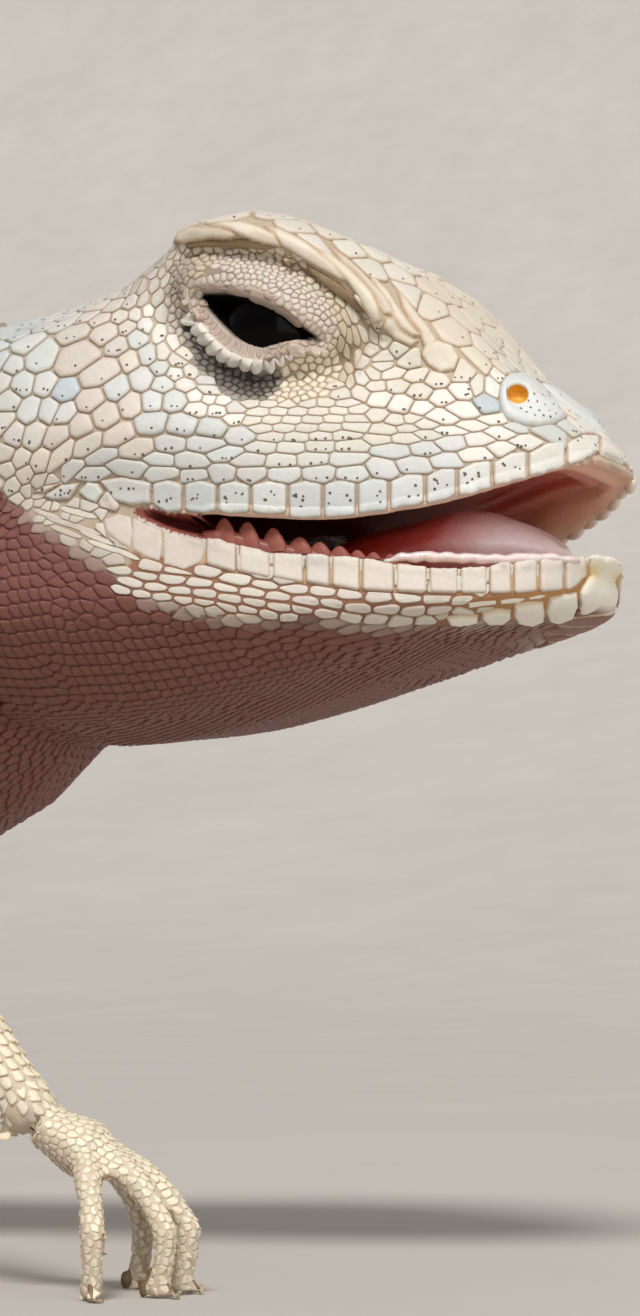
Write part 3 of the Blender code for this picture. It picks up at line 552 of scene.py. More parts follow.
# How each kind rises: rings of (share of the half width from the edge, share of the height, rim value).
domed = ((0.03, 0.5, 0.5), (0.1, 0.84, 0.12), (0.3, 0.97, 0.0), (0.65, 1.0, 0.0))
flatTop = ((0.025, 0.6, 0.4), (0.08, 0.9, 0.1), (0.25, 0.98, 0.0), (0.65, 1.0, 0.0))
beadRings = ((0.08, 0.45, 0.4), (0.3, 0.8, 0.1), (0.65, 1.0, 0.0))
looks = {
    "plate": {"height": 0.11, "rings": domed, "groove": 0.022, "round": 0.13, "sink": 0.05},
    "smooth": {"height": 0.075, "rings": flatTop, "groove": 0.014, "round": 0.12, "sink": 0.05},
    "labial": {"height": 0.18, "rings": domed, "groove": 0.035, "round": 0.1, "sink": 0.08},
    "tip": {"groove": 0.02, "round": 0.1},
    "ridge": {"groove": 0.02, "round": 0.1},
    "chin": {"height": 0.12, "rings": flatTop, "groove": 0.02, "round": 0.1, "sink": 0.08},
    "sheet": {"height": 0.05, "rings": domed, "groove": 0.01, "round": 0.12, "sink": 0.05},
    "lens": {"height": 0.12, "rings": domed, "groove": 0.07, "round": 0.2, "sink": 0.04},
    "bead": {"height": 0.13, "rings": beadRings, "groove": 0.012, "round": 0.22, "sink": 0.03},
    "petal": {"height": 0.2, "rings": beadRings, "groove": 0.01, "round": 0.1, "sink": 0.06},
    "granule": {"height": 0.1, "rings": beadRings, "groove": 0.045, "round": 0.2, "sink": 0.03},
    "fold": {"height": 0.12, "rings": domed, "groove": 0.02, "round": 0.2, "sink": 0.04},
    "crease": {"height": 0.08, "rings": domed, "groove": 0.02, "round": 0.1, "sink": 0.04},
    "strip": {"height": 0.28, "rings": ((0.06, 0.42, 0.5), (0.25, 0.75, 0.1), (0.55, 0.95, 0.0), (0.8, 1.0, 0.0)),
              "groove": 0.015, "round": 0.1, "sink": 0.08},
    "fine": {"height": 0.045, "rings": ((0.08, 0.7, 0.35), (0.4, 1.0, 0.0)), "groove": 0.012, "round": 0.16,
             "sink": 0.03,
             "lift": 0.05},
    "lap": {"height": 0.06, "rings": ((0.1, 0.6, 0.35), (0.45, 1.0, 0.0)), "groove": 0.014, "round": 0.18, "sink": 0.03,
            "lift": 0.05},
    "keel": {"height": 0.1, "rings": ((0.08, 0.75, 0.4),), "peak": 0.05, "groove": 0.025, "round": 0, "sink": 0.03,
             "lift": 0.09},
}

# The scales along the lips: where one ends and the next begins, the rim and the line behind them, in the picture.
upperLip = {
    "cuts": (152, 184, 218, 251, 288, 323, 357, 389, 425, 457, 492, 527, 565, 599),
    "rim": ((100, 500), (152, 507), (168, 512), (218, 513), (288, 514), (323, 513.5), (357, 511), (389, 506),
            (425, 499.5), (457, 492), (492, 485), (527, 475.5), (565, 466), (599, 455)),
    "back": ((100, 480), (152, 482), (251, 483.5), (323, 483), (357, 482), (387, 480), (421, 475), (454, 469),
             (487, 462), (520, 453), (560, 442), (595, 436)),
}
lowerLip = {
    "cuts": (205, 237.6, 271.7, 304.7, 331, 361, 395, 428, 459, 488, 512, 537.6, 563, 586),
    "rim": ((100, 516), (145, 523), (205, 541), (237, 543.6), (271, 548), (304, 553), (331, 556), (361, 560),
            (395, 562), (459, 563.6), (512, 563.6), (537, 562.6), (563, 560.5), (590, 559)),
    "back": ((100, 548), (150, 560), (205, 566), (237, 573), (271, 579), (304, 583.5), (331, 587), (361, 591),
             (395, 592.5), (459, 594), (488, 594), (512, 593.5), (537, 592), (563, 590.5), (577, 586), (590, 576)),
}
# Scales with an outline of their own: corners in the picture, kind and tint.
ownTiles = (
    (((99, 480), (123, 476), (152, 482), (152, 504), (132, 506), (114, 501), (105, 487)), "labial", "blue"),
    (((78, 492), (88, 481), (99, 483), (105, 493), (97, 504), (88, 501)), "labial", "blue"),
    (((43, 496), (62, 484), (81, 482), (77, 491), (70, 500), (53, 501)), "labial", "blue"),
    (((30, 493), (46, 485), (64, 482), (46, 493)), "labial", "cream"),
    (((103, 519), (118, 513), (131, 516), (133, 532), (131, 549), (118, 542), (106, 532)), "sheet", "jaw"),
    (((132, 516), (145, 523), (162, 530), (163, 545), (160, 562), (145, 557), (132, 549)), "sheet", "jaw"),
    (((163, 530), (180, 535), (203, 541), (205, 553), (200, 563), (184, 570), (163, 564)), "sheet", "jaw"),
    (((549, 597), (562, 594), (576, 591), (578, 605), (573, 618), (560, 624), (549, 621), (545, 610)), "chin", "chin"),
    (((514, 604), (528, 601), (543, 601), (545, 612), (544, 621), (532, 626), (518, 623), (513, 614)), "chin", "chin"),
    (((482, 611), (497, 608), (511, 609), (511, 618), (503, 624), (488, 624), (481, 618)), "chin", "chin"),
    (((445, 616), (460, 613), (478, 614), (478, 622), (464, 626), (450, 625)), "chin", "chin"),
    (((500, 599.5), (512, 597.5), (525, 597.5), (526, 600), (519, 603.5), (500, 605)), "sheet", "chin"),
    (((528, 597), (538, 594.5), (546, 594), (546, 597), (540, 599.5), (529, 600.5)), "sheet", "chin"),
    (((468, 602), (482, 600.5), (497, 599.5), (497, 605), (482, 607), (468, 609)), "sheet", "chin"),
    (((599, 437), (612, 440), (618, 451), (607, 457), (599, 456)), "labial", "white"),
    # the long scales of the brow, rear ones first; those tinted brow lie under the ridge and are darkened as painted
    # shade
    (((174, 242), (178, 233), (190, 227), (204, 227), (218, 228), (232, 231), (240, 236), (230, 239), (215, 238.5),
      (198, 241), (185, 244)), "strip", "smooth"),
    (((184, 244), (202, 240), (223, 239.5), (242, 238), (262, 240), (279, 247), (267, 250), (247, 248), (227, 246.5),
      (207, 247), (190, 249)), "strip", "brow"),
    (((207, 227), (223, 222), (241, 222), (260, 227), (274, 234), (284, 248), (273, 246), (258, 242), (243, 237),
      (231, 232), (218, 228.5)), "strip", "smooth"),
    (((262, 226), (279, 229), (294, 236), (308, 244), (321, 254), (334, 264), (350, 283), (339, 280), (325, 272),
      (309, 263), (293, 253), (282, 247), (272, 234)), "strip", "smooth"),
    (((302, 237), (320, 246), (334, 257), (348, 268), (361, 281), (372, 293), (379, 307), (383, 321), (374, 324),
      (366, 311), (357, 296), (346, 282), (332, 267), (317, 253)), "strip", "smooth"),
    (((326, 244), (346, 258), (361, 271), (372, 283), (384, 296), (391, 307), (394, 317), (383, 315), (376, 303),
      (369, 292), (357, 278), (342, 264)), "strip", "smooth"),
    (((364, 270), (377, 280), (388, 291), (395, 302), (403, 314), (412, 325), (422, 337), (411, 337), (399, 329),
      (391, 317), (388, 307), (379, 295)), "strip", "smooth"),
    (((386, 317), (394, 319), (401, 330), (411, 337), (420, 341), (411, 348), (394, 340), (382, 327)), "strip",
     "smooth"),
    (((395, 287), (408, 301), (419, 316), (429, 327), (438, 340), (434, 353), (422, 346), (418, 333), (409, 322),
      (401, 308)), "strip", "smooth"),
    (((306, 263), (322, 272), (340, 283), (356, 298), (367, 313), (357, 311), (343, 300), (326, 286), (311, 273)),
     "strip", "brow"),
    (((424, 344), (438, 340), (452, 345), (460, 358), (455, 371), (440, 374), (427, 366), (420, 355)), "chin",
     "smooth"),
)
# The single scales at the tips of the jaws, and the folds over the nostril.
tipTiles = (
    (((579.5, 592), (583, 584), (590, 575), (588, 567), (590, 550), (650, 545), (650, 622), (592, 621), (579, 613)),
     "tip",
     "chin"),
    (((599, 441), (607, 427), (660, 427), (660, 480), (630, 473), (620, 464), (608, 459), (599, 457)), "tip", "white"),
    (((499, 371), (506, 363), (518, 361), (531, 367), (541, 380), (535, 382), (522, 372), (508, 371)), "ridge",
     "cream"),
    (((507, 359), (519, 355), (533, 362), (543, 376), (537, 374), (524, 364)), "ridge", "cream"),
)
stain = {"spot": (590, 571), "tint": linear(232, 206, 120), "spread": 90}
# How high the traced kinds rise, how wide their shoulders and their tan edges are, all in mm.
traced = {
    "labial": (0.17, 0.13, 0.08), "chin": (0.16, 0.14, 0.1), "sheet": (0.045, 0.1, 0.05), "strip": (0.16, 0.15, 0.14),
    "tip": (0.17, 0.22, 0.03), "ridge": (0.13, 0.1, 0.08),
}
# Scales that run from one spot to another: both ends, width, kind and tint.
longScales = (
    (34, 510, 62, 520, 6, "crease", "jaw"), (46, 517, 80, 528, 6, "crease", "jaw"),
    (60, 508, 98, 518, 7, "crease", "cream"), (64, 523, 102, 535, 6, "crease", "jaw"),
    (80, 531, 114, 545, 6, "crease", "cream"), (50, 526, 82, 538, 6, "crease", "jaw"),
    (88, 541, 122, 553, 6, "crease", "cream"), (112, 548, 140, 560, 6, "crease", "cream"),
    (200, 288, 228, 289, 7, "sheet", "lid"), (222, 288, 254, 296, 8, "sheet", "lid"),
    (248, 295, 280, 309, 9, "sheet", "lid"), (274, 306, 302, 327, 9, "sheet", "lid"),
)
# The white scales that fringe the lower lid, and the creased skin between them and the opening.
petals = (
    (202, 315, 184, 321, 15), (208, 325, 192, 333, 15), (214, 334, 199, 343, 15), (221, 341.5, 209, 354, 15),
    (230, 349, 219, 361, 15), (239, 354, 232, 366.5, 14.5), (248, 357, 244, 371, 14), (258, 358, 256, 373, 13.5),
    (268, 354, 270.6, 373, 12.5), (275, 347, 283, 366, 11), (283, 346, 292, 360, 9),
)
lidBand = {
    "rim": ((205, 309), (209, 314), (213, 319), (217, 323), (221, 328), (225, 332), (230, 335.5), (235, 338.5),
            (240, 341), (246, 343.5), (252, 345), (258, 345.5), (264, 344.5)),
    "fringe": ((198, 312), (202, 319), (205, 324), (209, 330), (213, 336), (218, 341), (223, 346), (229, 351),
               (236, 355), (243, 358), (251, 359), (259, 358.5), (267, 355)),
}
# The plates of the cheek, the snout and the temple: middle, length and height in pixels, slant in degrees and tint.
plates = (
    (77, 357, 52, 35, 15, "pink"), (44, 356, 38, 32, 30, "blue"), (100, 374, 48, 25, 15, "pink"),
    (104, 336, 33, 23, 15, "pink"), (75, 335, 38, 20, 15, "pink"), (29, 344, 33, 20, 25, "blue"),
    (14, 366, 22, 18, 25, "blue"), (24, 385, 25, 23, 60, "blue"), (45, 384, 27, 22, 70, "blue"),
    (67, 390, 30, 22, 20, "blueDeep"), (91, 401, 30, 23, 10, "pink"), (117, 389, 27, 24, 15, "blue"),
    (142, 380, 24, 23, 60, "blue"), (162, 385, 20, 16, 0, "blue"), (117, 347, 25, 19, 10, "pink"),
    (130, 362, 22, 20, 50, "cream"), (147, 356, 20, 18, 20, "blue"), (160, 369, 18, 15, 0, "blue"),
    (137, 340, 20, 18, 30, "blue"), (127, 329, 18, 14, 20, "cream"), (120, 317, 17, 14, 10, "cream"),
    (146, 326, 15, 14, 40, "white"), (136, 315, 14, 12, 40, "white"), (100, 321, 25, 11, 10, "pink"),
    (147, 311, 12, 11, 60, "white"), (152, 402, 21, 20, 0, "blue"), (175, 402, 23, 19, 0, "blue"),
    (131, 406, 24, 24, 20, "pink"), (106, 416, 28, 26, 20, "pink"), (82, 426, 24, 24, 40, "pink"),
    (66, 414, 25, 19, 30, "blue"), (50, 410, 22, 20, 50, "blue"), (31, 410, 27, 18, 65, "blue"),
    (150, 424, 35, 21, 0, "blue"), (182, 425, 31, 22, -5, "blue"), (212, 429, 29, 20, -5, "blue"),
    (240, 436, 28, 17, -3, "blue"), (120, 434, 35, 21, 20, "pink"), (87, 445, 35, 20, 30, "pink"),
    (57, 437, 30, 18, 40, "pink"), (170, 444, 32, 17, 0, "blue"), (205, 444, 35, 16, -3, "blue"),
    (137, 449, 38, 19, 10, "pink"), (102, 457, 35, 15, 15, "blue"), (160, 459, 29, 13, -5, "blue"),
    (191, 461, 33, 16, -5, "blue"), (225, 454, 33, 13, 5, "blue"), (127, 467, 42, 16, -3, "blue"),
    (162, 474, 35, 14, 0, "blue"), (195, 475, 28, 13, 0, "blue"), (223, 473, 30, 15, -3, "blue"),
    (72, 469, 30, 18, 25, "blue"), (92, 472, 37, 11, 8, "blue"), (62, 455, 33, 18, 35, "cream"),
    (42, 460, 25, 16, 45, "cream"), (197, 410, 21, 14, -10, "white"), (217, 411, 18, 12, -15, "white"),
    (235, 420, 20, 11, -5, "white"), (175, 374, 16, 14, -30, "white"), (185, 386, 16, 13, -40, "white"),
    (195, 397, 15, 12, -30, "white"), (209, 400, 14, 10, -20, "white"), (222, 402, 14, 9, -10, "white"),
    (382, 469, 31, 17, -3, "blue"), (414, 465, 35, 16, 3, "blue"), (445, 461, 32, 14, 3, "blue"),
    (476, 455, 35, 14, 8, "white"), (502, 449, 33, 13, 5, "white"), (525, 442, 33, 12, 5, "white"),
    (549, 435, 36, 14, 0, "blue"), (569, 429, 22, 10, -10, "blue"), (394, 451, 33, 14, -3, "blue"),
    (425, 450, 31, 13, 0, "blue"), (452, 444, 31, 13, 5, "blue"), (479, 440, 31, 12, 8, "white"),
    (500, 434, 30, 12, 0, "white"), (517, 429, 20, 8, 0, "blue"), (380, 440, 25, 9, 0, "cream"),
    (405, 439, 30, 10, 5, "cream"), (427, 435, 27, 9, 0, "cream"), (450, 431, 30, 8, 0, "white"),
    (472, 426, 28, 10, 0, "white"), (492, 420, 25, 9, 8, "white"), (385, 430, 22, 10, 0, "cream"),
    (407, 429, 20, 7, 0, "cream"), (426, 425, 20, 9, 0, "cream"), (377, 415, 22, 11, 0, "cream"),
    (395, 420, 18, 11, 0, "cream"), (411, 419, 15, 8, 0, "cream"), (442, 417, 30, 14, -10, "white"),
    (462, 411, 32, 15, -8, "white"), (381, 400, 22, 15, 5, "white"), (400, 405, 26, 17, 0, "white"),
    (421, 409, 22, 12, 0, "white"), (442, 399, 22, 15, -10, "white"), (462, 392, 22, 15, 0, "white"),
    (485, 405, 20, 18, -10, "blueDeep"), (377, 387, 20, 10, 0, "cream"), (397, 387, 25, 13, 0, "cream"),
    (419, 392, 25, 14, -5, "cream"), (436, 381, 20, 15, 0, "cream"), (415, 377, 21, 11, 10, "cream"),
    (394, 375, 20, 9, 15, "cream"), (476, 387, 18, 12, 80, "cream"), (491, 388, 17, 11, 80, "white"),
    (497, 376, 14, 12, 0, "white"), (462, 372, 24, 20, 20, "smooth"), (400, 347, 18, 14, 30, "cream"),
    (412, 359, 20, 15, 30, "cream"), (385, 339, 15, 12, 60, "cream"), (372, 350, 14, 11, 50, "cream"),
    (382, 358, 16, 10, 20, "cream"), (380, 366, 16, 9, 10, "cream"), (456, 332, 33, 20, -60, "smooth"),
    (478, 360, 28, 15, -65, "smooth"), (432, 307, 28, 20, -50, "smooth"), (474, 322, 26, 17, -55, "smooth"),
    (492, 336, 28, 18, -60, "smooth"), (508, 348, 26, 20, -50, "smooth"), (446, 293, 32, 20, -25, "smooth"),
    (574, 410, 24, 18, -55, "white"), (591, 412, 26, 18, -55, "white"), (601, 428, 18, 16, -40, "white"),
    (585, 427, 16, 12, -30, "blue"),
)
# Rows over the upper lip below the eye: height over the line behind the lip, length, height, first and last place.
cheekRows = (
    (9, 34, 16, 251, 372), (23, 32, 14, 249, 368), (36, 29, 12, 262, 366), (46, 25, 10, 270, 362),
    (55, 23, 9, 262, 362), (63, 21, 8.5, 250, 362), (71, 20, 8.5, 258, 362), (79, 19, 8, 250, 350),
)
# Rows under the lower lip, in the same order.
jawRows = (
    (7, 27, 9.5, 150, 545), (17, 25, 9.5, 120, 470), (27, 23, 9, 132, 450), (36, 20, 8, 120, 300),
)


# where the pale scales of the jaw give way to the throat's painted shade, in the picture
throatEdge = ((-60, 440), (0, 492), (40, 530), (100, 566), (150, 600), (210, 621), (330, 627), (450, 630), (520, 628),
              (545, 624), (580, 619), (600, 615), (700, 600))


nose = {
    # corners of the swollen plate in the picture, its height and the rings from its edge to the hole
    "plate": ((499, 396), (501, 383), (508, 376), (520, 374), (534, 382), (547, 396), (560, 410), (566, 419),
              (556, 424), (538, 427), (521, 425), (506, 419), (500, 408)),
    "hole": nostrilHole, "radius": 0.36, "height": 0.2, "count": 32,
    "pits": ((538, 398), (545, 402), (533, 404), (541, 408), (549, 409), (555, 413), (528, 411), (536, 414), (545, 415),
             (552, 418), (540, 420), (532, 420), (524, 417), (547, 421), (538, 391), (530, 396), (526, 404),
             (519, 412)),
}


class Scale:
    def __init__(self, place, normal, size, stretch, along, tint, kind, fixed=False):
        self.place, self.normal, self.size, self.stretch = place, normal, size, stretch
        self.along = (along - normal * along.dot(normal)).normalized()
        self.tint, self.kind, self.fixed = tint, kind, fixed
        self.outline, self.isTile, self.isTraced, self.node = None, False, False, "head"

    def setOutline(self, points):
        # a tile keeps the outline that it is given, and the way out over each of its edges
        self.outline, self.isTile = points, True
        middle = sum(points, Vector()) / len(points)
        self.edges = []
        for a, b in zip(points, points[1:] + points[:1]):
            out = (b - a).cross(self.normal)
            if out.length > 1e-5:
                out.normalize()
                self.edges.append((a, out if out.dot(a - middle) > 0 else -out))
        self.size = max((p - middle).length for p in points)
        across = self.normal.cross(self.along)
        self.halves = (max(abs((p - middle).dot(self.along)) for p in points),
                       max(abs((p - middle).dot(across)) for p in points))

    def mirrored(self):
        flip = Vector((1, -1, 1))
        other = Scale(self.place * flip, self.normal * flip, self.size, self.stretch, self.along * flip,
                      self.tint, self.kind, self.fixed)
        if self.isTile:
            other.setOutline([p * flip for p in reversed(self.outline)])
        other.isTraced = self.isTraced
        return other

    def gapTo(self, place):
        # how far a place lies outside a tile, and the way out
        best, way = -9, None
        for corner, out in self.edges:
            gap = (place - corner).dot(out)
            if gap > best:
                best, way = gap, out
        return best, way


def slanted(degrees):
    angle = math.radians(degrees)
    return rightward * math.cos(angle) + upward * math.sin(angle)


def fieldAt(spots):
    # size, stretch, slant, tint and zone of the head's scales at picture spots
    table = np.array([row[:5] for row in headField], float)
    colours = np.array([tints[row[5]] for row in headField])
    away = ((spots[:, None, :] - table[None, :, :2]) ** 2).sum(2) + 60
    share = away ** -2.2
    share /= share.sum(1, keepdims=True)
    size, stretch = share @ table[:, 2], share @ table[:, 3]
    angle = np.radians(table[:, 4]) * 2
    slant = np.degrees(np.arctan2(share @ np.sin(angle), share @ np.cos(angle))) / 2
    soft = (((spots[:, None, :] - table[None, :, :2]) ** 2).sum(2) + 300) ** -1.8
    tint = (soft / soft.sum(1, keepdims=True)) @ colours
    # below the throat edge the tint turns to the throat's painted shade
    below = np.clip((spots[:, 1] - np.interp(spots[:, 0], [e[0] for e in throatEdge], [e[1] for e in throatEdge])) / 14
                    + 0.5, 0, 1)[:, None]
    tint = tint * (1 - below) + np.array(tints["throat"]) * below
    sleek = share @ np.array([row[5] == "smooth" for row in headField], float)
    kind = np.where(sleek > 0.5, -2, -1)
    for number, zone in enumerate(orbitZones):
        chosen = inside(spots, zone["outline"]) & (kind < 0)
        kind[chosen], size[chosen] = number, zone["size"]
        stretch[chosen], slant[chosen] = zone["stretch"], zone["slant"]
        fade = 0.5 * np.exp(-awayFrom(spots[chosen], zone["outline"], True) / 0.16)[:, None]
        tint[chosen] = np.array(tints[zone["tint"]]) * (1 - fade) + tint[chosen] * fade
    return size, stretch, slant, tint, kind


dice = random.Random(11)
numbers = np.random.default_rng(11)


def varied(colour, amount=0.06):
    bright = 1 + dice.uniform(-amount, amount)
    return tuple(unit(c * bright * (1 + dice.uniform(-amount, amount) * 0.35)) for c in colour)


def mixed(first, second, share):
    return tuple(a + (b - a) * share for a, b in zip(first, second))


def rowScale(x, y, length, height, slant, kind, tint):
    place, normal = onSkin(x, y)
    if place is None or place.y > 0:
        return None
    towards = slanted(slant)
    towards = (towards - normal * towards.dot(normal)).normalized()
    # true sizes, because the surface turns away from the camera
    long, high = length / pixelsPerMm, height / pixelsPerMm
    seen = towards - ahead * towards.dot(ahead)
    long /= max(0.5, seen.length)
    across = normal.cross(towards)
    seen = across - ahead * across.dot(ahead)
    high /= max(0.5, seen.length)
    if long < high:
        towards, long, high = across, high, long
    return Scale(place, normal, math.sqrt(long * high), long / high, towards, tint, kind, True)


def skinSpot(spot, centre):
    # the skin under a spot of the picture; past a rim it is carried on from spots nearer the centre
    way = Vector(centre) - Vector(spot)
    for share in (0, 0.12, 0.24, 0.36, 0.5):
        place, _ = onSkin(*(Vector(spot) + way * share))
        if place is None or place.y > 0.3:
            continue
        inner, _ = onSkin(*(Vector(spot) + way * (share + 0.12)))
        if share == 0 or inner is None or (place - inner).length > 0.6:
            return place
        return place + (place - inner) * (share / 0.12)
    return None


def tile(spots, kind, tint):
    # a scale with its own outline in the picture
    centre = [sum(values) / len(spots) for values in zip(*spots)]
    place, normal = onSkin(*centre)
    corners = [skinSpot(spot, centre) for spot in spots]
    if place is None or place.y > 0 or None in corners:
        return None
    longest = max(((a - b) for a in corners for b in corners), key=lambda gap: gap.length)
    if longest.dot(rightward) > 0:
        longest = -longest
    made = Scale(place, normal, 1, 1.5, longest, tint, kind, True)
    share = looks[kind]["round"]
    soft = []
    for a, b in zip(corners, corners[1:] + corners[:1]):
        count = max(1, round((b - a).length / 0.5))
        soft += [a.lerp(b, share + (1 - 2 * share) * k / count) for k in range(count + 1)]
    middle = sum(soft, Vector()) / len(soft)
    made.place = nearestSkin(middle)[0]
    groove = looks[kind]["groove"] * 0.5
    made.setOutline([p + (middle - p) * min(0.5, groove / max(0.05, (middle - p).length)) for p in soft])
    return made


def leaf(x0, y0, x1, y1, width, kind, tint, blunt=0.3):
    # a long scale from one spot to another, with a blunt start and a pointed end
    side = Vector((y0 - y1, x1 - x0)).normalized() * width / 2
    start, end = Vector((x0, y0)), Vector((x1, y1))
    shape = ((0, blunt), (0.15, 0.85), (0.45, 1), (0.75, 0.9), (0.93, 0.5), (1, 0.1))
    spots = [start.lerp(end, t) + side * w for t, w in shape] + [start.lerp(end, t) - side * w for t,
                                                                 w in reversed(shape)]
    return tile([tuple(s) for s in spots], kind, tint)


def slopeOf(line, x):
    ys = curveAt(line, x - 12), curveAt(line, x + 12)
    return math.degrees(math.atan2(ys[0] - ys[1], 24))


def tracedRows():
    # outline in the picture, kind and tint of every scale that is sculpted on the skin
    made = []
    for cuts, rim, back, way in ((upperLip["cuts"], upperLip["rim"], upperLip["back"], -1),
                                 (lowerLip["cuts"], lowerLip["rim"], lowerLip["back"], 1)):
        for first, second in zip(cuts, cuts[1:]):
            middle, bow = (first + second) / 2, 3 if way < 0 else 0
            spots = ((first + 0.8, curveAt(rim, first) + way * 3), (first + 3.5, curveAt(rim, first) + way * 0.5),
                     (middle, curveAt(rim, middle) - way * 1.5), (second - 3.5, curveAt(rim, second) + way * 0.5),
                     (second - 0.8, curveAt(rim, second) + way * 3), (second - 0.8, curveAt(back, second) - way * 2),
                     (second - 4, curveAt(back, second)), (middle, curveAt(back, middle) + way * bow),
                     (first + 4, curveAt(back, first)), (first + 0.8, curveAt(back, first) - way * 2))
            if way < 0:
                tint = mixed(tints["blue"], tints["blueDeep"], 0.6 * dice.random())
                tint = mixed(tint, tints["white"], min(0.8, max(0, (middle - 400) / 160)))
                spots = [(x, y + 5 if number < 5 and 270 < middle < 560 else y) for number, (x, y) in enumerate(spots)]
            else:
                tint = mixed(tints["jaw"], tints["row"], unit((middle - 190) / 90))
                spots = [(x, y - 6 if number < 5 else y) for number, (x, y) in enumerate(spots)]
            made.append((tuple(spots), "labial", varied(tint, 0.04)))
    for spots, kind, tint in ownTiles + tipTiles:
        made.append((spots, kind, varied(tints[tint], 0.03)))
    return made


def headRows():
    made = [tile(spots, kind, tint) for spots, kind, tint in tracedScales]
    made.append(tile(nose["plate"], "tip", tints["blue"]))
    made = [scale for scale in made if scale]
    for scale in made:
        scale.isTraced = True
    for x0, y0, x1, y1, width, kind, tint in longScales:
        made.append(leaf(x0, y0, x1, y1, width, kind, varied(tints[tint], 0.04)))
    for x0, y0, x1, y1, width in petals:
        made.append(leaf(x0, y0, x1, y1, width, "petal", varied(tints["petal"], 0.02), 0.9))
    for (x0, y0), (x1, y1) in zip(lidBand["rim"], lidBand["fringe"]):
        made.append(leaf(x0, y0, x1, y1, 6.5, "crease", varied(tints["lid"], 0.06), 0.6))
    for x, y, length, height, slant, tint in plates:
        kind = "smooth" if tint == "smooth" else "plate"
        made.append(rowScale(x, y, length, height, slant, kind, varied(tints[tint], 0.05)))
    for drop, length, height, start, end in cheekRows:
        x = start
        while x < end:
            y = curveAt(upperLip["back"], x) - drop
            slant = slopeOf(upperLip["back"], x) * max(0, 1 - drop / 90)
            tint = mixed(tints["blue"], tints["cream"], min(1, drop / 60))
            made.append(rowScale(x + dice.uniform(-1.5, 1.5), y + dice.uniform(-0.8, 0.8), length, height, slant,
                                 "plate", varied(tint, 0.05)))
            x += length
    for drop, length, height, start, end in jawRows:
        x = start
        while x < end:
            y = curveAt(lowerLip["back"], x) + drop
            size = dice.uniform(0.85, 1.1)
            made.append(rowScale(x + dice.uniform(-2, 2), y + dice.uniform(-1, 1), length * size, height * size,
                                 slopeOf(lowerLip["back"], x), "lens", varied(tints["row"], 0.06)))
            x += length * 1.06
    made = [scale for scale in made if scale]
    return made + [scale.mirrored() for scale in made]


cadTrees = []
for nodeName in ["head", "lower_jaw"] + fleshNodes:
    copy = newBmesh([nodeName])
    cadTrees.append((nodeName, BVHTree.FromBMesh(copy)))
    copy.free()


def nearestNode(place):
    best, bestAway = "torso", 9
    for name, tree in cadTrees:
        found = tree.find_nearest(place, 1.2)
        if found[0] is not None and found[3] < bestAway:
            best, bestAway = name, found[3]
    return best


def limbAxis(name, place):
    # direction towards the fingers or toes
    for limb, nodes in limbNodes.items():
        if name in nodes:
            points = [Vector(p) for p in limbs[limb]]
            if name in endNodes:
                out = Vector((place.x - points[-1].x, place.y - points[-1].y, 0))
                return out.normalized() if out.length > 0.8 else (points[-1] - points[-2]).normalized()
            best = min(range(4), key=lambda k: ((points[k] + points[k + 1]) / 2 - place).length)
            return (points[best + 1] - points[best]).normalized()
    return Vector((-1, 0, 0))


def bodyTint(name, place, normal):
    if name.startswith("tail"):
        base = tints["tail"]
    elif name.startswith(("hand", "foot", "forearm")):
        base = tints["hand"]
    else:
        base = tints["sand"]
    top = unit(normal.z * 1.2 + 0.45)
    base = mixed(tints["belly"], base, top)
    wave = math.sin((place.x + 2.2 * math.sin(place.y * 0.5)) * 2 * math.pi
                    / (11 if name in ("torso", "neck") else 9.5))
    if name in ("torso",) or name.startswith("tail"):
        base = mixed(base, tints["band"], 0.55 * top * max(0, wave - 0.35))
    # painted shade: under the neck and the chest, where the skin faces down, the throat's shaded tint carries on
    if name == "neck" or name == "torso":
        share = unit((-place.x - 21) / 14)
        front = mixed(tints["throat"], tints["blue"], unit((place.z - 22.5) / 5))
        low = unit(1 - normal.z) * (1 - share)
        base = mixed(base, front, max(0, low * 0.9))
    return base


def fieldOf(name):
    # size, stretch and kind of the scales that grow on a node
    name = "neck" if name in ("head", "lower_jaw") else name
    return bodyField[name if name in bodyField else name.rsplit("_", 1)[0]]


def bodyScale(place, normal, name):
    name = "neck" if name in ("head", "lower_jaw") else name
    plain = fieldOf(name)
    along = limbAxis(name, place) if name not in spineNodes else Vector((-1, 0, 0))
    kind = "lap" if name == "torso" and normal.z < -0.35 else plain[2]
    made = Scale(place, normal, plain[0], plain[1], along, varied(bodyTint(name, place, normal), 0.06), kind)
    made.node = name
    return made


def headScale(place, normal, size, stretch, slant, tint, zone):
    along = slanted(slant)
    if place.y > 0:
        along = along * Vector((1, -1, 1))
    kind = orbitZones[zone]["kind"] if zone >= 0 else ("smooth" if zone == -2 else "plate")
    if kind == "plate":
        spot = pictureSpot([place])[0]
        if spot[1] > curveAt(throatEdge, spot[0]) - 8:
            kind = "fine"
        tint = mixed(tint, tints[dice.choice(("blue", "pink", "cream"))], 0.22 if kind == "plate" else 0.04)
        along = along if along.x < 0 else -along
    return Scale(place, normal, size, stretch, along, varied(tint, 0.05), kind)


def headScales(points, normals):
    size, stretch, slant, tint, zone = fieldAt(pictureSpot(points))
    return [headScale(Vector(points[k]), normals[k], size[k], stretch[k], slant[k], tuple(tint[k]), zone[k])
            for k in range(len(points))]


def bareGround(spots):
    # the rims between the lips and the places of the scales at the tips of the jaws
    upper = np.interp(spots[:, 0], [r[0] for r in upperLip["rim"]], [r[1] for r in upperLip["rim"]])
    lower = np.interp(spots[:, 0], [r[0] for r in lowerLip["rim"]], [r[1] for r in lowerLip["rim"]])
    bare = (spots[:, 0] > 128) & (spots[:, 1] > upper - 10) & (spots[:, 1] < lower + 12)
    bare |= (spots[:, 0] > 538) & (spots[:, 1] > upper) & (spots[:, 1] < 600)
    for outline, _, _ in tipTiles[:2]:
        bare |= inside(spots, outline)
    return bare


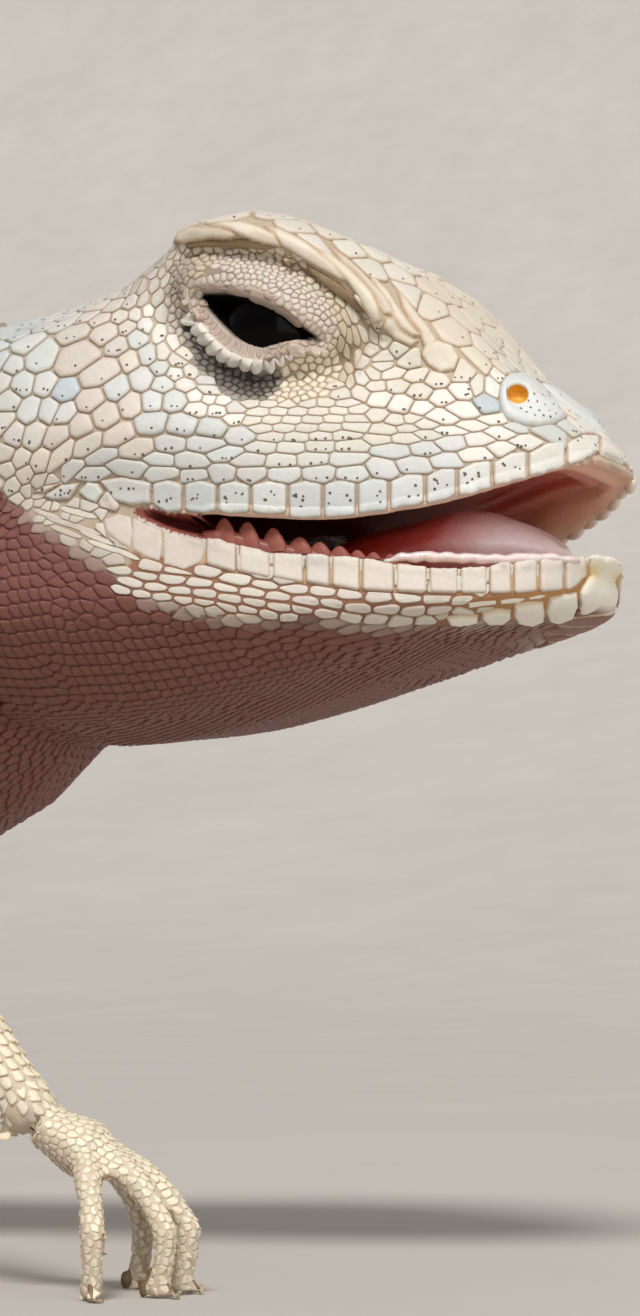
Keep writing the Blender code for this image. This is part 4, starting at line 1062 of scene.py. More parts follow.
def spineCentre(back):
    middle = curveAt(((0, 27), (20, 26.5), (28, 22.8), (42, 17.4), (66, 10.8), (90, 6.5), (118, 2), (232, 0.4)), back)
    sway = curveAt(((90, 0), (110, -2.5), (135, -7.5), (160, -5), (185, 3), (210, 7), (232, 5)), back)
    return Vector((-back, sway, middle))


def throatCentre(back):
    low = headTree.ray_cast(Vector((-back, 0, 0)), Vector((0, 0, 1)))[0]
    return Vector((-back, 0, (low.z if low else 20) + min(3.0, 0.5 + 0.14 * back)))


def limbCentre(limb):
    points = [Vector(p) for p in limbs[limb]]
    lengths = [(b - a).length for a, b in zip(points, points[1:])]

    def centreAt(walked):
        for a, b, length in zip(points, points[1:], lengths):
            if walked <= length or b == points[-1]:
                return a.lerp(b, walked / length)
            walked -= length
        return points[-1]

    return centreAt, sum(lengths)


def ringSeeds(part):
    # rows of scales round a part, from its lower side up both flanks, each row set half a scale on
    if part == "throat":
        centreAt, start, end, tree = throatCentre, 2.6, skinLook["join"] + 1, headTree
    elif part == "spine":
        centreAt, start, end, tree = spineCentre, skinLook["join"] - 0.5, 229.5, bodyTree
    else:
        centreAt, end = limbCentre(part)
        start, tree = 2, bodyTree
    found, row, walked = [], 0, start
    while walked < end:
        centre = centreAt(walked)
        axis = (centreAt(walked + 0.2) - centreAt(walked - 0.2)).normalized()
        side = axis.cross(Vector((0, 0, 1))).normalized()
        down = side.cross(axis)
        down = -down if down.z > 0 else down
        first = tree.ray_cast(centre, down)[0]
        if part == "throat":
            size, stretch = 0.42, 1.15
        else:
            size, stretch, _ = fieldOf(nearestNode(first) if first else "torso")
        gap = 0.93 * size / math.sqrt(stretch)
        for way in (1, -1):
            turned, before, total = 0, first, 0
            wanted = gap * 0.5 if row % 2 else (0 if way == 1 else gap)
            while turned <= 180:
                angle = math.radians(turned)
                place, normal, _, _ = tree.ray_cast(centre, down * math.cos(angle) + side * way * math.sin(angle))
                turned += 3
                if place is None or before is None:
                    before = place
                    continue
                total += (place - before).length
                before = place
                if total >= wanted - 1e-6:
                    wanted += gap * (1 + int((total - wanted) / gap))
                    found.append((place, normal))
        row += 1
        walked += 0.84 * size * math.sqrt(stretch)
    if part == "throat":
        spots = pictureSpot([place for place, _ in found])
        edge = np.interp(spots[:, 0], [e[0] for e in throatEdge], [e[1] for e in throatEdge])
        bare = bareGround(spots)
        found = [pair for pair, spot, limit, isBare in zip(found, spots, edge, bare)
                 if spot[1] > limit and not isBare and not inMouth(*pair)[0]]
        return headScales(np.array([place for place, _ in found]), [normal for _, normal in found])
    made = []
    for place, normal in found:
        name = nearestNode(place)
        belongs = name in limbNodes.get(part, spineNodes + ["head", "lower_jaw"]) and name not in endNodes
        if belongs and place.z > 0.3:
            made.append(bodyScale(place, normal, name))
    return made


def skinSamples(made, head):
    # random points of a skin, thicker where its scales are smaller
    made.faces.ensure_lookup_table()
    verts = np.array([v.co for v in made.verts])
    corners = np.array([[v.index for v in f.verts] for f in made.faces])
    triangles = verts[corners]
    cross = np.cross(triangles[:, 1] - triangles[:, 0], triangles[:, 2] - triangles[:, 0])
    area = np.linalg.norm(cross, axis=1) / 2
    middles = triangles.mean(1)
    keep = np.ones(len(area), bool)
    names = []
    if head:
        size = fieldAt(pictureSpot(middles))[0]
        for number, face in enumerate(made.faces):
            back = -middles[number][0]
            if back > skinLook["join"] or inMouth(Vector(middles[number]), face.normal)[0]:
                keep[number] = False
            elif 0.3 < back < 17 and abs(middles[number][1]) > curveAt(mouth["lip"], back) - 1.2:
                # the rims of the lips stay bare
                upper, lower = curveAt(mouth["upperRim"], back), curveAt(mouth["lowerRim"], back)
                if lower - 0.05 < middles[number][2] < upper + 0.25 and back < 14.5:
                    keep[number] = False
        near = middles.copy()
        near[:, 1] = -np.abs(near[:, 1])
        spots = pictureSpot(near)
        atEye = np.linalg.norm(near - np.array(eye["centre"]), axis=1) < 3.8
        keep &= ~(atEye & (inside(spots, eye["opening"]) | (awayFrom(spots, eye["opening"], True) < 0.2)))
        keep &= ~(inside(spots, nostrilGround) & (np.abs(near[:, 1]) > 1.2))
        keep &= ~bareGround(spots)
        keep &= (((near - np.array(ear["centre"])) / np.array(ear["size"])) ** 2).sum(1) > 1
    else:
        names = [nearestNode(Vector(m)) for m in middles]
        kinds = [fieldOf(n) for n in names]
        size = np.array([k[0] for k in kinds])
        keep &= ~((middles[:, 2] < 0.3) & (np.array([f.normal.z for f in made.faces]) < -0.5))
    wanted = np.where(keep, 4.5 * area / size ** 2, 0)
    count = np.floor(wanted + numbers.random(len(wanted))).astype(int)
    chosen = np.repeat(np.arange(len(area)), count)
    numbers.shuffle(chosen)
    first, second = numbers.random(len(chosen)), numbers.random(len(chosen))
    over = first + second > 1
    first[over], second[over] = 1 - first[over], 1 - second[over]
    a, b, c = triangles[chosen, 0], triangles[chosen, 1], triangles[chosen, 2]
    points = a + (b - a) * first[:, None] + (c - a) * second[:, None]
    normals = [made.faces[face].normal.copy() for face in chosen]
    if head:
        return headScales(points, normals)
    return [bodyScale(Vector(point), normal, names[face]) for face, point, normal in zip(chosen, points, normals)]


def apart(first, second):
    # distance in units of the wanted spacing, 1 when they just touch
    gap = second.place - first.place
    lengthwise = gap.dot(first.along) / math.sqrt(first.stretch)
    sideways = gap.dot(first.normal.cross(first.along)) * math.sqrt(first.stretch)
    return math.hypot(lengthwise, sideways) / (0.5 * (first.size + second.size))


def thinned(fixed, loose, spacing=0.74):
    tree = KDTree(len(loose))
    for number, scale in enumerate(loose):
        tree.insert(scale.place, number)
    tree.balance()
    gone = [False] * len(loose)
    kept = []
    for scale in fixed:
        if scale.isTile:
            for _, number, _ in tree.find_range(scale.place, scale.size + 0.3):
                if not gone[number] and scale.gapTo(loose[number].place)[0] < 0.16 * loose[number].size:
                    gone[number] = True
            continue
        for _, number, _ in tree.find_range(scale.place, scale.size * 1.5):
            if not gone[number] and apart(scale, loose[number]) < spacing * 1.1:
                gone[number] = True
    for number, scale in enumerate(loose):
        if gone[number]:
            continue
        kept.append(scale)
        for _, other, _ in tree.find_range(scale.place, scale.size * math.sqrt(scale.stretch) * 1.2):
            if not gone[other] and other != number and apart(scale, loose[other]) < spacing:
                gone[other] = True
    return kept


def evened(scales, rounds):
    # neighbours push each other apart until the scales lie evenly
    for _ in range(rounds):
        tree = KDTree(len(scales))
        for number, scale in enumerate(scales):
            tree.insert(scale.place, number)
        tree.balance()
        moves = []
        for number, scale in enumerate(scales):
            if scale.fixed:
                moves.append(None)
                continue
            push = Vector((0, 0, 0))
            for _, other, _ in tree.find_range(scale.place, scale.size * 1.5):
                if other == number or scales[other].isTile:
                    continue
                gap = scale.place - scales[other].place
                away = apart(scale, scales[other])
                if 0 < away < 1.25:
                    push += gap.normalized() * (1.25 - away) * 0.22 * scale.size
            push -= scale.normal * push.dot(scale.normal)
            if push.length > scale.size * 0.3:
                push.length = scale.size * 0.3
            moves.append(scale.place + push)
        for scale, move in zip(scales, moves):
            if move is None:
                continue
            place, normal = nearestSkin(move)
            if place is not None and (place - move).length < 0.5:
                scale.place, scale.normal = place, normal
                scale.along = (scale.along - normal * scale.along.dot(normal)).normalized()
    return scales


def reachOf(scale, gap):
    # half width of a scale towards a neighbour
    longer = math.sqrt(scale.stretch)
    x = gap.dot(scale.along) / longer
    y = gap.dot(scale.normal.cross(scale.along)) * longer
    return 0.5 * scale.size * gap.length / max(1e-6, math.hypot(x, y))


def clipped(polygon, nx, ny, limit):
    # the part of a polygon on the near side of a line
    kept = []
    count = len(polygon)
    for number in range(count):
        ax, ay = polygon[number]
        bx, by = polygon[(number + 1) % count]
        da, db = ax * nx + ay * ny - limit, bx * nx + by * ny - limit
        if da <= 0:
            kept.append((ax, ay))
        if (da < 0 < db) or (db < 0 < da):
            share = da / (da - db)
            kept.append((ax + (bx - ax) * share, ay + (by - ay) * share))
    return kept


def rounded(polygon, share):
    made = []
    for number, (ax, ay) in enumerate(polygon):
        bx, by = polygon[(number + 1) % len(polygon)]
        if math.hypot(bx - ax, by - ay) < 0.02:
            made.append(((ax + bx) / 2, (ay + by) / 2))
            continue
        made.append((ax + (bx - ax) * share, ay + (by - ay) * share))
        made.append((ax + (bx - ax) * (1 - share), ay + (by - ay) * (1 - share)))
    return made


def squashed(scale, gap):
    # a gap measured as the scale is stretched
    across = scale.normal.cross(scale.along)
    return scale.along * (gap.dot(scale.along) / scale.stretch) + across * (gap.dot(across) * scale.stretch)


def outlined(scales):
    # each scale takes the ground nearest to it, less its half of the groove
    cells = [scale for scale in scales if not scale.isTile]
    tiles = [scale for scale in scales if scale.isTile]
    tree, tileTree = KDTree(len(cells)), KDTree(len(tiles))
    for number, scale in enumerate(cells):
        tree.insert(scale.place, number)
    for number, scale in enumerate(tiles):
        tileTree.insert(scale.place, number)
    tree.balance()
    tileTree.balance()
    done = [scale for scale in tiles if not scale.isTraced]
    for number, scale in enumerate(cells):
        look = looks[scale.kind]
        along, across = scale.along, scale.normal.cross(scale.along)
        longer = math.sqrt(scale.stretch)
        groove = look["groove"] / 2
        reach = 0.92 * scale.size
        polygon = [(reach * longer * math.cos(k * math.pi / 4), reach / longer * math.sin(k * math.pi / 4))
                   for k in range(8)]
        for _, other, _ in tree.find_range(scale.place, scale.size * longer * 1.9):
            near = cells[other]
            if other == number or near.normal.dot(scale.normal) < 0.1:
                continue
            gap = near.place - scale.place
            if gap.length < 1e-4:
                continue
            mine, theirs = reachOf(scale, gap), reachOf(near, gap)
            if gap.length > 2.4 * (mine + theirs):
                continue
            # both neighbours find the same line between them
            way = squashed(scale, gap) + squashed(near, gap)
            nx, ny = way.dot(along), way.dot(across)
            steep = math.hypot(nx, ny)
            limit = (gap.dot(along) * nx + gap.dot(across) * ny) / steep * mine / (mine + theirs)
            polygon = clipped(polygon, nx / steep, ny / steep, limit - groove)
            if len(polygon) < 3:
                break
        for _, other, _ in tileTree.find_range(scale.place, 2.6) if scale.node == "head" else ():
            near = tiles[other]
            if (near.place - scale.place).length > near.size + scale.size * longer:
                continue
            gap, way = near.gapTo(scale.place)
            if near.normal.dot(scale.normal) < 0.1:
                continue
            if gap < 0.02:
                polygon = []
            if gap > scale.size * longer or len(polygon) < 3:
                continue
            nx, ny = -way.dot(along), -way.dot(across)
            steep = math.hypot(nx, ny)
            if steep > 0.2:
                polygon = clipped(polygon, nx / steep, ny / steep, gap / steep - groove)
        if len(polygon) < 3:
            continue
        if look["round"]:
            polygon = rounded(polygon, look["round"])
        area = 0.5 * abs(sum(a[0] * b[1] - b[0] * a[1] for a, b in zip(polygon, polygon[1:] + polygon[:1])))
        if area < 0.14 * scale.size ** 2:
            continue
        points = []
        for x, y in polygon:
            flat = scale.place + along * x + across * y
            place, normal = nearestSkin(flat)
            if place is None or normal.dot(scale.normal) < 0.2 or (place - flat).length > 0.45 * scale.size:
                place = flat
            if not points or (place - points[-1]).length > 0.06 * scale.size:
                points.append(place)
        while len(points) > 3 and (points[0] - points[-1]).length < 0.06 * scale.size:
            points.pop()
        if len(points) < 3:
            continue
        scale.outline = points
        done.append(scale)
    return done


def unwrapped(piece, place):
    # the skin unrolled: along the spine or the limb, and round it
    if piece in limbs:
        points = [Vector(p) for p in limbs[piece]]
        best = min(range(4), key=lambda k: ((points[k] + points[k + 1]) / 2 - place).length)
        axis = (points[best + 1] - points[best])
        share = (place - points[best]).dot(axis) / axis.length_squared
        offset = place - points[best] - axis * share
        side = axis.cross(Vector((0, 0, 1))).normalized()
        up = side.cross(axis).normalized()
        turn = 0.5 + 0.48 * math.atan2(offset.dot(side), offset.dot(up)) / math.pi
        return 0.04 + 0.9 * (best + min(2.2, max(-0.2, share)) + 0.2) / 6.5, turn
    offset = place - spineCentre(-place.x)
    return 0.02 + 0.96 * -place.x / 234, 0.5 + 0.48 * math.atan2(offset.y, offset.z) / math.pi


def finished(name, made, materialNow, stands=()):
    mesh = bpy.data.meshes.new(name)
    bmesh.ops.transform(made, matrix=toFrame, verts=made.verts)
    made.to_mesh(mesh)
    made.free()
    mesh.materials.append(materialNow)
    mesh.shade_smooth()
    piece = addObject(name, mesh)
    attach(piece, "root")
    if stands:
        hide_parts(*stands)
    return piece


def raiseRing(face, scale, look, inset, climb):
    # steps one ring of a scale in from its edge and up
    long, wide = scale.halves
    half = min(long, wide)
    across = scale.normal.cross(scale.along)
    height = look["height"] * min(1.2, max(0.4, half / 0.36)) * climb
    step = inset * half
    for vert, corner, (u, v) in zip(face.verts, scale.corners, scale.local):
        place = corner - scale.along * (u * step / long) - across * (v * step / wide)
        if scale.size > 0.6 and scale.node == "head":
            hit = headTree.ray_cast(place + scale.normal * 0.6, -scale.normal, 1.2)[0]
            place = (hit or place) + scale.normal * height
        else:
            place = place + scale.normal * height
        if "lift" in look:
            behind = max(-0.4, u / long)
            place += scale.normal * look["lift"] * behind * min(1.2,
                                                                long / 0.3) + scale.along * 0.14 * long * max(0, behind)
        vert.co = place


def buildCoat(name, scales, materialNow):
    made = bmesh.new()
    index = made.faces.layers.int.new("scaleIndex")
    rim = made.verts.layers.float.new("rim")
    groups = {}
    for number, scale in enumerate(scales):
        verts = [made.verts.new(place) for place in scale.outline]
        face = made.faces.new(verts)
        face.normal_update()
        if face.normal.dot(scale.normal) < 0:
            face.normal_flip()
        face[index] = number
        scale.corners = [vert.co.copy() for vert in face.verts]
        middle = sum(scale.corners, Vector()) / len(scale.corners)
        across = scale.normal.cross(scale.along)
        scale.local = [((p - middle).dot(scale.along), (p - middle).dot(across)) for p in scale.corners]
        scale.halves = (max(abs(u) for u, _ in scale.local), max(abs(v) for _, v in scale.local))
        for vert in verts:
            vert.co -= scale.normal * looks[scale.kind]["sink"]
            vert[rim] = 1.0
        groups.setdefault(scale.kind, []).append((face, scale))
    for kind, members in sorted(groups.items()):
        look = looks[kind]
        faces = [face for face, _ in members]
        for inset, climb, rimValue in look["rings"]:
            bmesh.ops.inset_individual(made, faces=faces, thickness=0, depth=0)
            for face, scale in members:
                raiseRing(face, scale, look, inset, climb)
                for vert in face.verts:
                    vert[rim] = rimValue
        poked = bmesh.ops.poke(made, faces=faces, offset=look.get("peak", 0.004))
        for vert in poked["verts"]:
            vert[rim] = 0.0
    for vert in made.verts:
        vert.co.z = max(vert.co.z, 0.012)
    bmesh.ops.triangulate(made, faces=made.faces)
    piece = finished(name, made, materialNow)
    mesh = piece.data
    owner = np.zeros(len(mesh.polygons), np.int32)
    mesh.attributes["scaleIndex"].data.foreach_get("value", owner)
    loopVerts = np.zeros(len(mesh.loops), np.int32)
    mesh.loops.foreach_get("vertex_index", loopVerts)
    loopOwner = np.repeat(owner, 3)
    vertOwner = np.zeros(len(mesh.vertices), np.int32)
    vertOwner[loopVerts] = loopOwner
    colour = np.array([tuple(s.tint) + (1,) for s in scales], np.float32)
    mesh.attributes.new("tint", "FLOAT_COLOR", "POINT").data.foreach_set("color", colour[vertOwner].ravel())
    # each scale is a small patch at its root's place on the unrolled skin
    pieceLimb = next((limb for limb in limbs if limb in name), "spine")
    roots = np.array([unwrapped(pieceLimb, s.place) for s in scales])
    places = np.array([s.place for s in scales])
    along = np.array([s.along for s in scales])
    across = np.array([s.normal.cross(s.along) for s in scales])
    sizes = np.array([max(s.size, 0.1) for s in scales])
    co = np.zeros(len(mesh.vertices) * 3)
    mesh.vertices.foreach_get("co", co)
    back = np.array(toWork)
    work = co.reshape(-1, 3) @ back[:3, :3].T + back[:3, 3]
    offset = work - places[vertOwner]
    u = roots[vertOwner, 0] + 0.0015 * np.clip((offset * along[vertOwner]).sum(1) / sizes[vertOwner], -1, 1)
    v = roots[vertOwner, 1] + 0.0015 * np.clip((offset * across[vertOwner]).sum(1) / sizes[vertOwner], -1, 1)
    layer = mesh.uv_layers.new(name="OFBake")
    layer.data.foreach_set("uv", np.stack([u[loopVerts], v[loopVerts]], axis=1).astype(np.float32).ravel())
    print(name, len(scales), "scales", len(mesh.polygons), "triangles")
    return piece


def newMaterial(name):
    made = bpy.data.materials.new(name)
    made.use_nodes = True
    nodes = made.node_tree.nodes
    return made, nodes, made.node_tree.links, nodes["Principled BSDF"]


def grainGroup():
    group = bpy.data.node_groups.new("fineGrain", "ShaderNodeTree")
    face = group.interface
    face.new_socket("Vector", in_out="INPUT", socket_type="NodeSocketVector")
    for name, value in (("Scale", 2000), ("Contrast", 1)):
        face.new_socket(name, in_out="INPUT", socket_type="NodeSocketFloat").default_value = value
    face.new_socket("Value", in_out="OUTPUT", socket_type="NodeSocketFloat")
    nodes, links = group.nodes, group.links
    start, end = nodes.new("NodeGroupInput"), nodes.new("NodeGroupOutput")
    coarse, fine = nodes.new("ShaderNodeTexNoise"), nodes.new("ShaderNodeTexNoise")
    scaleUp, mean, spread = nodes.new("ShaderNodeMath"), nodes.new("ShaderNodeMath"), nodes.new("ShaderNodeMapRange")
    coarse.inputs["Detail"].default_value = 4
    fine.inputs["Detail"].default_value = 6
    scaleUp.operation, mean.operation = "MULTIPLY", "ADD"
    scaleUp.inputs[1].default_value = 4.7
    links.new(start.outputs["Vector"], coarse.inputs["Vector"])
    links.new(start.outputs["Vector"], fine.inputs["Vector"])
    links.new(start.outputs["Scale"], coarse.inputs["Scale"])
    links.new(start.outputs["Scale"], scaleUp.inputs[0])
    links.new(scaleUp.outputs[0], fine.inputs["Scale"])
    links.new(coarse.outputs["Fac"], mean.inputs[0])
    links.new(fine.outputs["Fac"], mean.inputs[1])
    links.new(mean.outputs[0], spread.inputs["Value"])
    spread.inputs["From Min"].default_value = 0.6
    spread.inputs["From Max"].default_value = 1.4
    links.new(spread.outputs[0], end.inputs["Value"])
    return group


grain = grainGroup()


def addGrain(nodes, links, coordinate, scale):
    node = nodes.new("ShaderNodeGroup")
    node.node_tree = grain
    node.inputs["Scale"].default_value = scale
    links.new(coordinate, node.inputs["Vector"])
    return node.outputs["Value"]


def ranged(nodes, links, value, low, high):
    node = nodes.new("ShaderNodeMapRange")
    node.inputs["To Min"].default_value = low
    node.inputs["To Max"].default_value = high
    links.new(value, node.inputs["Value"])
    return node.outputs[0]


def mixColour(nodes, links, factor, first, second, blend="MIX"):
    node = nodes.new("ShaderNodeMix")
    node.data_type = "RGBA"
    node.blend_type = blend
    for socket, value in (("Factor", factor), ("A", first), ("B", second)):
        place = [s for s in node.inputs if s.name == socket
                 and s.type == ("VALUE" if socket == "Factor" else "RGBA")][0]
        if isinstance(value, bpy.types.NodeSocket):
            links.new(value, place)
        else:
            place.default_value = value if socket == "Factor" else (*value, 1)
    return [s for s in node.outputs if s.type == "RGBA"][0]


def addBump(nodes, links, shader, height, strength, distance):
    bump = nodes.new("ShaderNodeBump")
    bump.inputs["Strength"].default_value = strength
    bump.inputs["Distance"].default_value = distance
    links.new(height, bump.inputs["Height"])
    links.new(bump.outputs[0], shader.inputs["Normal"])


def attribute(nodes, name, output):
    node = nodes.new("ShaderNodeAttribute")
    node.attribute_name = name
    return node.outputs[output]


def scaleMaterial():
    made, nodes, links, shader = newMaterial("scaleCoat")
    place = nodes.new("ShaderNodeTexCoord").outputs["Object"]
    tint, rim = attribute(nodes, "tint", "Color"), attribute(nodes, "rim", "Fac")
    cloud = addGrain(nodes, links, place, 700)
    fine = addGrain(nodes, links, place, 5200)
    mottled = mixColour(nodes, links, ranged(nodes, links, cloud, 0.0, 0.5), tint, (0.93, 0.86, 0.78), "MULTIPLY")
    flecked = mixColour(nodes, links, ranged(nodes, links, fine, 0.0, 0.35), mottled, (0.8, 0.74, 0.68), "MULTIPLY")
    edged = mixColour(nodes, links, ranged(nodes, links, rim, 0.0, 0.85), flecked, linear(200, 164, 122), "MULTIPLY")
    links.new(edged, shader.inputs["Base Color"])
    links.new(ranged(nodes, links, fine, 0.38, 0.62), shader.inputs["Roughness"])
    addBump(nodes, links, shader, fine, 0.35, 0.00004)
    shader.inputs["Subsurface Weight"].default_value = 0.12
    shader.inputs["Subsurface Radius"].default_value = (0.5, 0.3, 0.2)
    shader.inputs["Subsurface Scale"].default_value = 0.0006
    return made


def skinMaterial():
    made, nodes, links, shader = newMaterial("bareSkin")
    place = nodes.new("ShaderNodeTexCoord").outputs["Object"]
    tint, wet = attribute(nodes, "tint", "Color"), attribute(nodes, "wet", "Fac")
    cloud, fine = addGrain(nodes, links, place, 600), addGrain(nodes, links, place, 4200)
    mottled = mixColour(nodes, links, ranged(nodes, links, cloud, 0.0, 0.4), tint, (0.82, 0.7, 0.62), "MULTIPLY")
    links.new(mottled, shader.inputs["Base Color"])
    rough = nodes.new("ShaderNodeMath")
    rough.operation = "SUBTRACT"
    links.new(ranged(nodes, links, fine, 0.55, 0.75), rough.inputs[0])
    links.new(ranged(nodes, links, wet, 0.0, 0.3), rough.inputs[1])
    links.new(rough.outputs[0], shader.inputs["Roughness"])
    addBump(nodes, links, shader, fine, 0.4, 0.00006)
    shader.inputs["Subsurface Weight"].default_value = 0.1
    shader.inputs["Subsurface Radius"].default_value = (0.6, 0.25, 0.15)
    shader.inputs["Subsurface Scale"].default_value = 0.0006
    return made


def plainMaterial(name, first, second, scale, rough, bump, wet=0.0, soft=0.0):
    # two tones in a cloud of grain, for the small pieces
    made, nodes, links, shader = newMaterial(name)
    place = nodes.new("ShaderNodeTexCoord").outputs["Object"]
    cloud, fine = addGrain(nodes, links, place, scale), addGrain(nodes, links, place, scale * 6)
    links.new(mixColour(nodes, links, cloud, first, second), shader.inputs["Base Color"])
    links.new(ranged(nodes, links, fine, rough[0], rough[1]), shader.inputs["Roughness"])
    addBump(nodes, links, shader, fine, bump, 0.00006)
    shader.inputs["Coat Weight"].default_value = wet
    shader.inputs["Coat Roughness"].default_value = 0.08
    shader.inputs["Subsurface Weight"].default_value = soft
    shader.inputs["Subsurface Radius"].default_value = (0.8, 0.3, 0.25)
    shader.inputs["Subsurface Scale"].default_value = 0.0008
    return made


def wetFlesh(name, bump):
    made, nodes, links, shader = newMaterial(name)
    place = nodes.new("ShaderNodeTexCoord").outputs["Object"]
    cloud, fine = addGrain(nodes, links, place, 450), addGrain(nodes, links, place, 2600)
    mottled = mixColour(nodes, links, ranged(nodes, links, cloud, 0.0, 0.5), attribute(nodes, "tint", "Color"),
                        (0.9, 0.72, 0.7), "MULTIPLY")
    links.new(mottled, shader.inputs["Base Color"])
    links.new(ranged(nodes, links, fine, 0.22, 0.42), shader.inputs["Roughness"])
    addBump(nodes, links, shader, fine, bump, 0.00006)
    shader.inputs["Coat Weight"].default_value = 0.7
    shader.inputs["Coat Roughness"].default_value = 0.06
    shader.inputs["Subsurface Weight"].default_value = 0.3
    shader.inputs["Subsurface Radius"].default_value = (0.8, 0.3, 0.25)
    shader.inputs["Subsurface Scale"].default_value = 0.0008
    return made


scaleCoat = scaleMaterial()
bareSkin = skinMaterial()
tongueFlesh = wetFlesh("tongueFlesh", 0.5)
eyeDark = plainMaterial("eyeDark", linear(2, 1, 1), linear(6, 4, 4), 900, (0.12, 0.2), 0.03)
eyeDark.node_tree.nodes["Principled BSDF"].inputs["Specular IOR Level"].default_value = 0.08
lidShade = plainMaterial("lidShade", linear(3, 2, 2), linear(9, 7, 6), 900, (0.8, 0.95), 0.1)
lidShade.node_tree.nodes["Principled BSDF"].inputs["Specular IOR Level"].default_value = 0.05
# painted shade: the teeth are tinted reddish brown, and the gum's own red is darkened, for the shadow of the upper lip
toothInShade = plainMaterial("toothInShade", linear(132, 66, 52), linear(154, 84, 68), 900, (0.5, 0.7), 0.2, 0.05, 0.1)
gumFleshInShade = plainMaterial("gumFleshInShade", linear(120, 56, 44), linear(142, 72, 58), 700, (0.45, 0.6), 0.3, 0.1, 0.1)
# the far lip's pale tone is lightened further as painted light, where the scene leaves its inner side in shade
farLipPaleAndLit = plainMaterial("farLipPaleAndLit", linear(238, 214, 190), linear(250, 236, 218), 900, (0.4, 0.6), 0.3, 0.0, 0.2)
clawHorn = plainMaterial("clawHorn", linear(96, 72, 52), linear(150, 122, 92), 700, (0.3, 0.5), 0.3)
pitBrown = plainMaterial("pitBrown", linear(84, 68, 58), linear(120, 100, 86), 3000, (0.6, 0.8), 0.2)
noseHorn = plainMaterial("noseHorn", linear(212, 216, 214), linear(232, 231, 224), 900, (0.35, 0.55), 0.25, 0.0, 0.1)
nostrilInside = plainMaterial("nostrilInside", linear(236, 150, 24), linear(250, 200, 70), 2500, (0.3, 0.5), 0.4, 0.3,
                              0.2)


def sinkHoles(made):
    # once the scales are laid, the corners of the mouth and the nostrils are sunk into the skin
    spots = pictureSpot([v.co for v in made.verts])
    close = inside(spots, mouth["gap"]) | (awayFrom(spots, mouth["gap"], True) < 0.3)
    close = {vert for vert, isClose in zip(made.verts, close)
             if isClose and -16 < vert.co.x < -9 and abs(vert.co.y) > curveAt(mouth["lip"], -vert.co.x) - 1.5}
    edges = edgesAmong(made, close)
    bmesh.ops.subdivide_edges(made, edges=edges, cuts=2, use_grid_fill=True)
    bmesh.ops.triangulate(made, faces=made.faces)
    made.normal_update()
    spots = pictureSpot([v.co for v in made.verts])
    gapAway = np.where(inside(spots, mouth["gap"]), awayFrom(spots, mouth["gap"], True), 0)
    holeAway = np.linalg.norm(spots - np.array(nostrilHole), axis=1) / pixelsPerMm
    sunk = []
    for vert, gap, hole in zip(made.verts, gapAway, holeAway):
        side = math.copysign(1, vert.co.y)
        if gap > 0 and abs(vert.co.y) > curveAt(mouth["lip"], -vert.co.x) - 2:
            vert.co.y -= side * min(1.5, 9 * gap)
            sunk.append(vert)
        elif hole < 0.7 and vert.co.x > -5 and abs(vert.co.y) > 1:
            vert.co -= vert.normal * 0.6 * math.exp(-(hole / 0.28) ** 2)
    evenOut(made, sunk, 2)
    made.normal_update()
    return spots, gapAway


def skinTint(place, spot, base, zone):
    # what shows between the scales of the head
    lipLine, edge = curveAt(lowerLip["back"], spot[0]), curveAt(throatEdge, spot[0])
    # painted shade: between the granules under the lower lid the skin is painted near black
    if zone == 1:
        return mixed(base, (0.012, 0.009, 0.007), 0.85)
    if zone >= 0:
        return mixed(tuple(c * 0.5 for c in base), linear(160, 126, 96), 0.4)
    # painted shade: the skin under the chin on the far side is painted brown
    if place.y > 0 and place.x > -9 and place.z < 22:
        return linear(128, 84, 68)
    if spot[1] > edge - 4:
        return tuple(c * 0.78 for c in base)
    if spot[0] > 130 and spot[1] > lipLine - 3:
        return mixed(linear(150, 106, 82), linear(190, 140, 88), unit((spot[0] - 430) / 100))
    if spot[0] > 200 and spot[1] > lipLine - 40:
        return linear(204, 172, 134)
    return mixed(tuple(c * 0.7 for c in base), linear(196, 168, 130), 0.5)


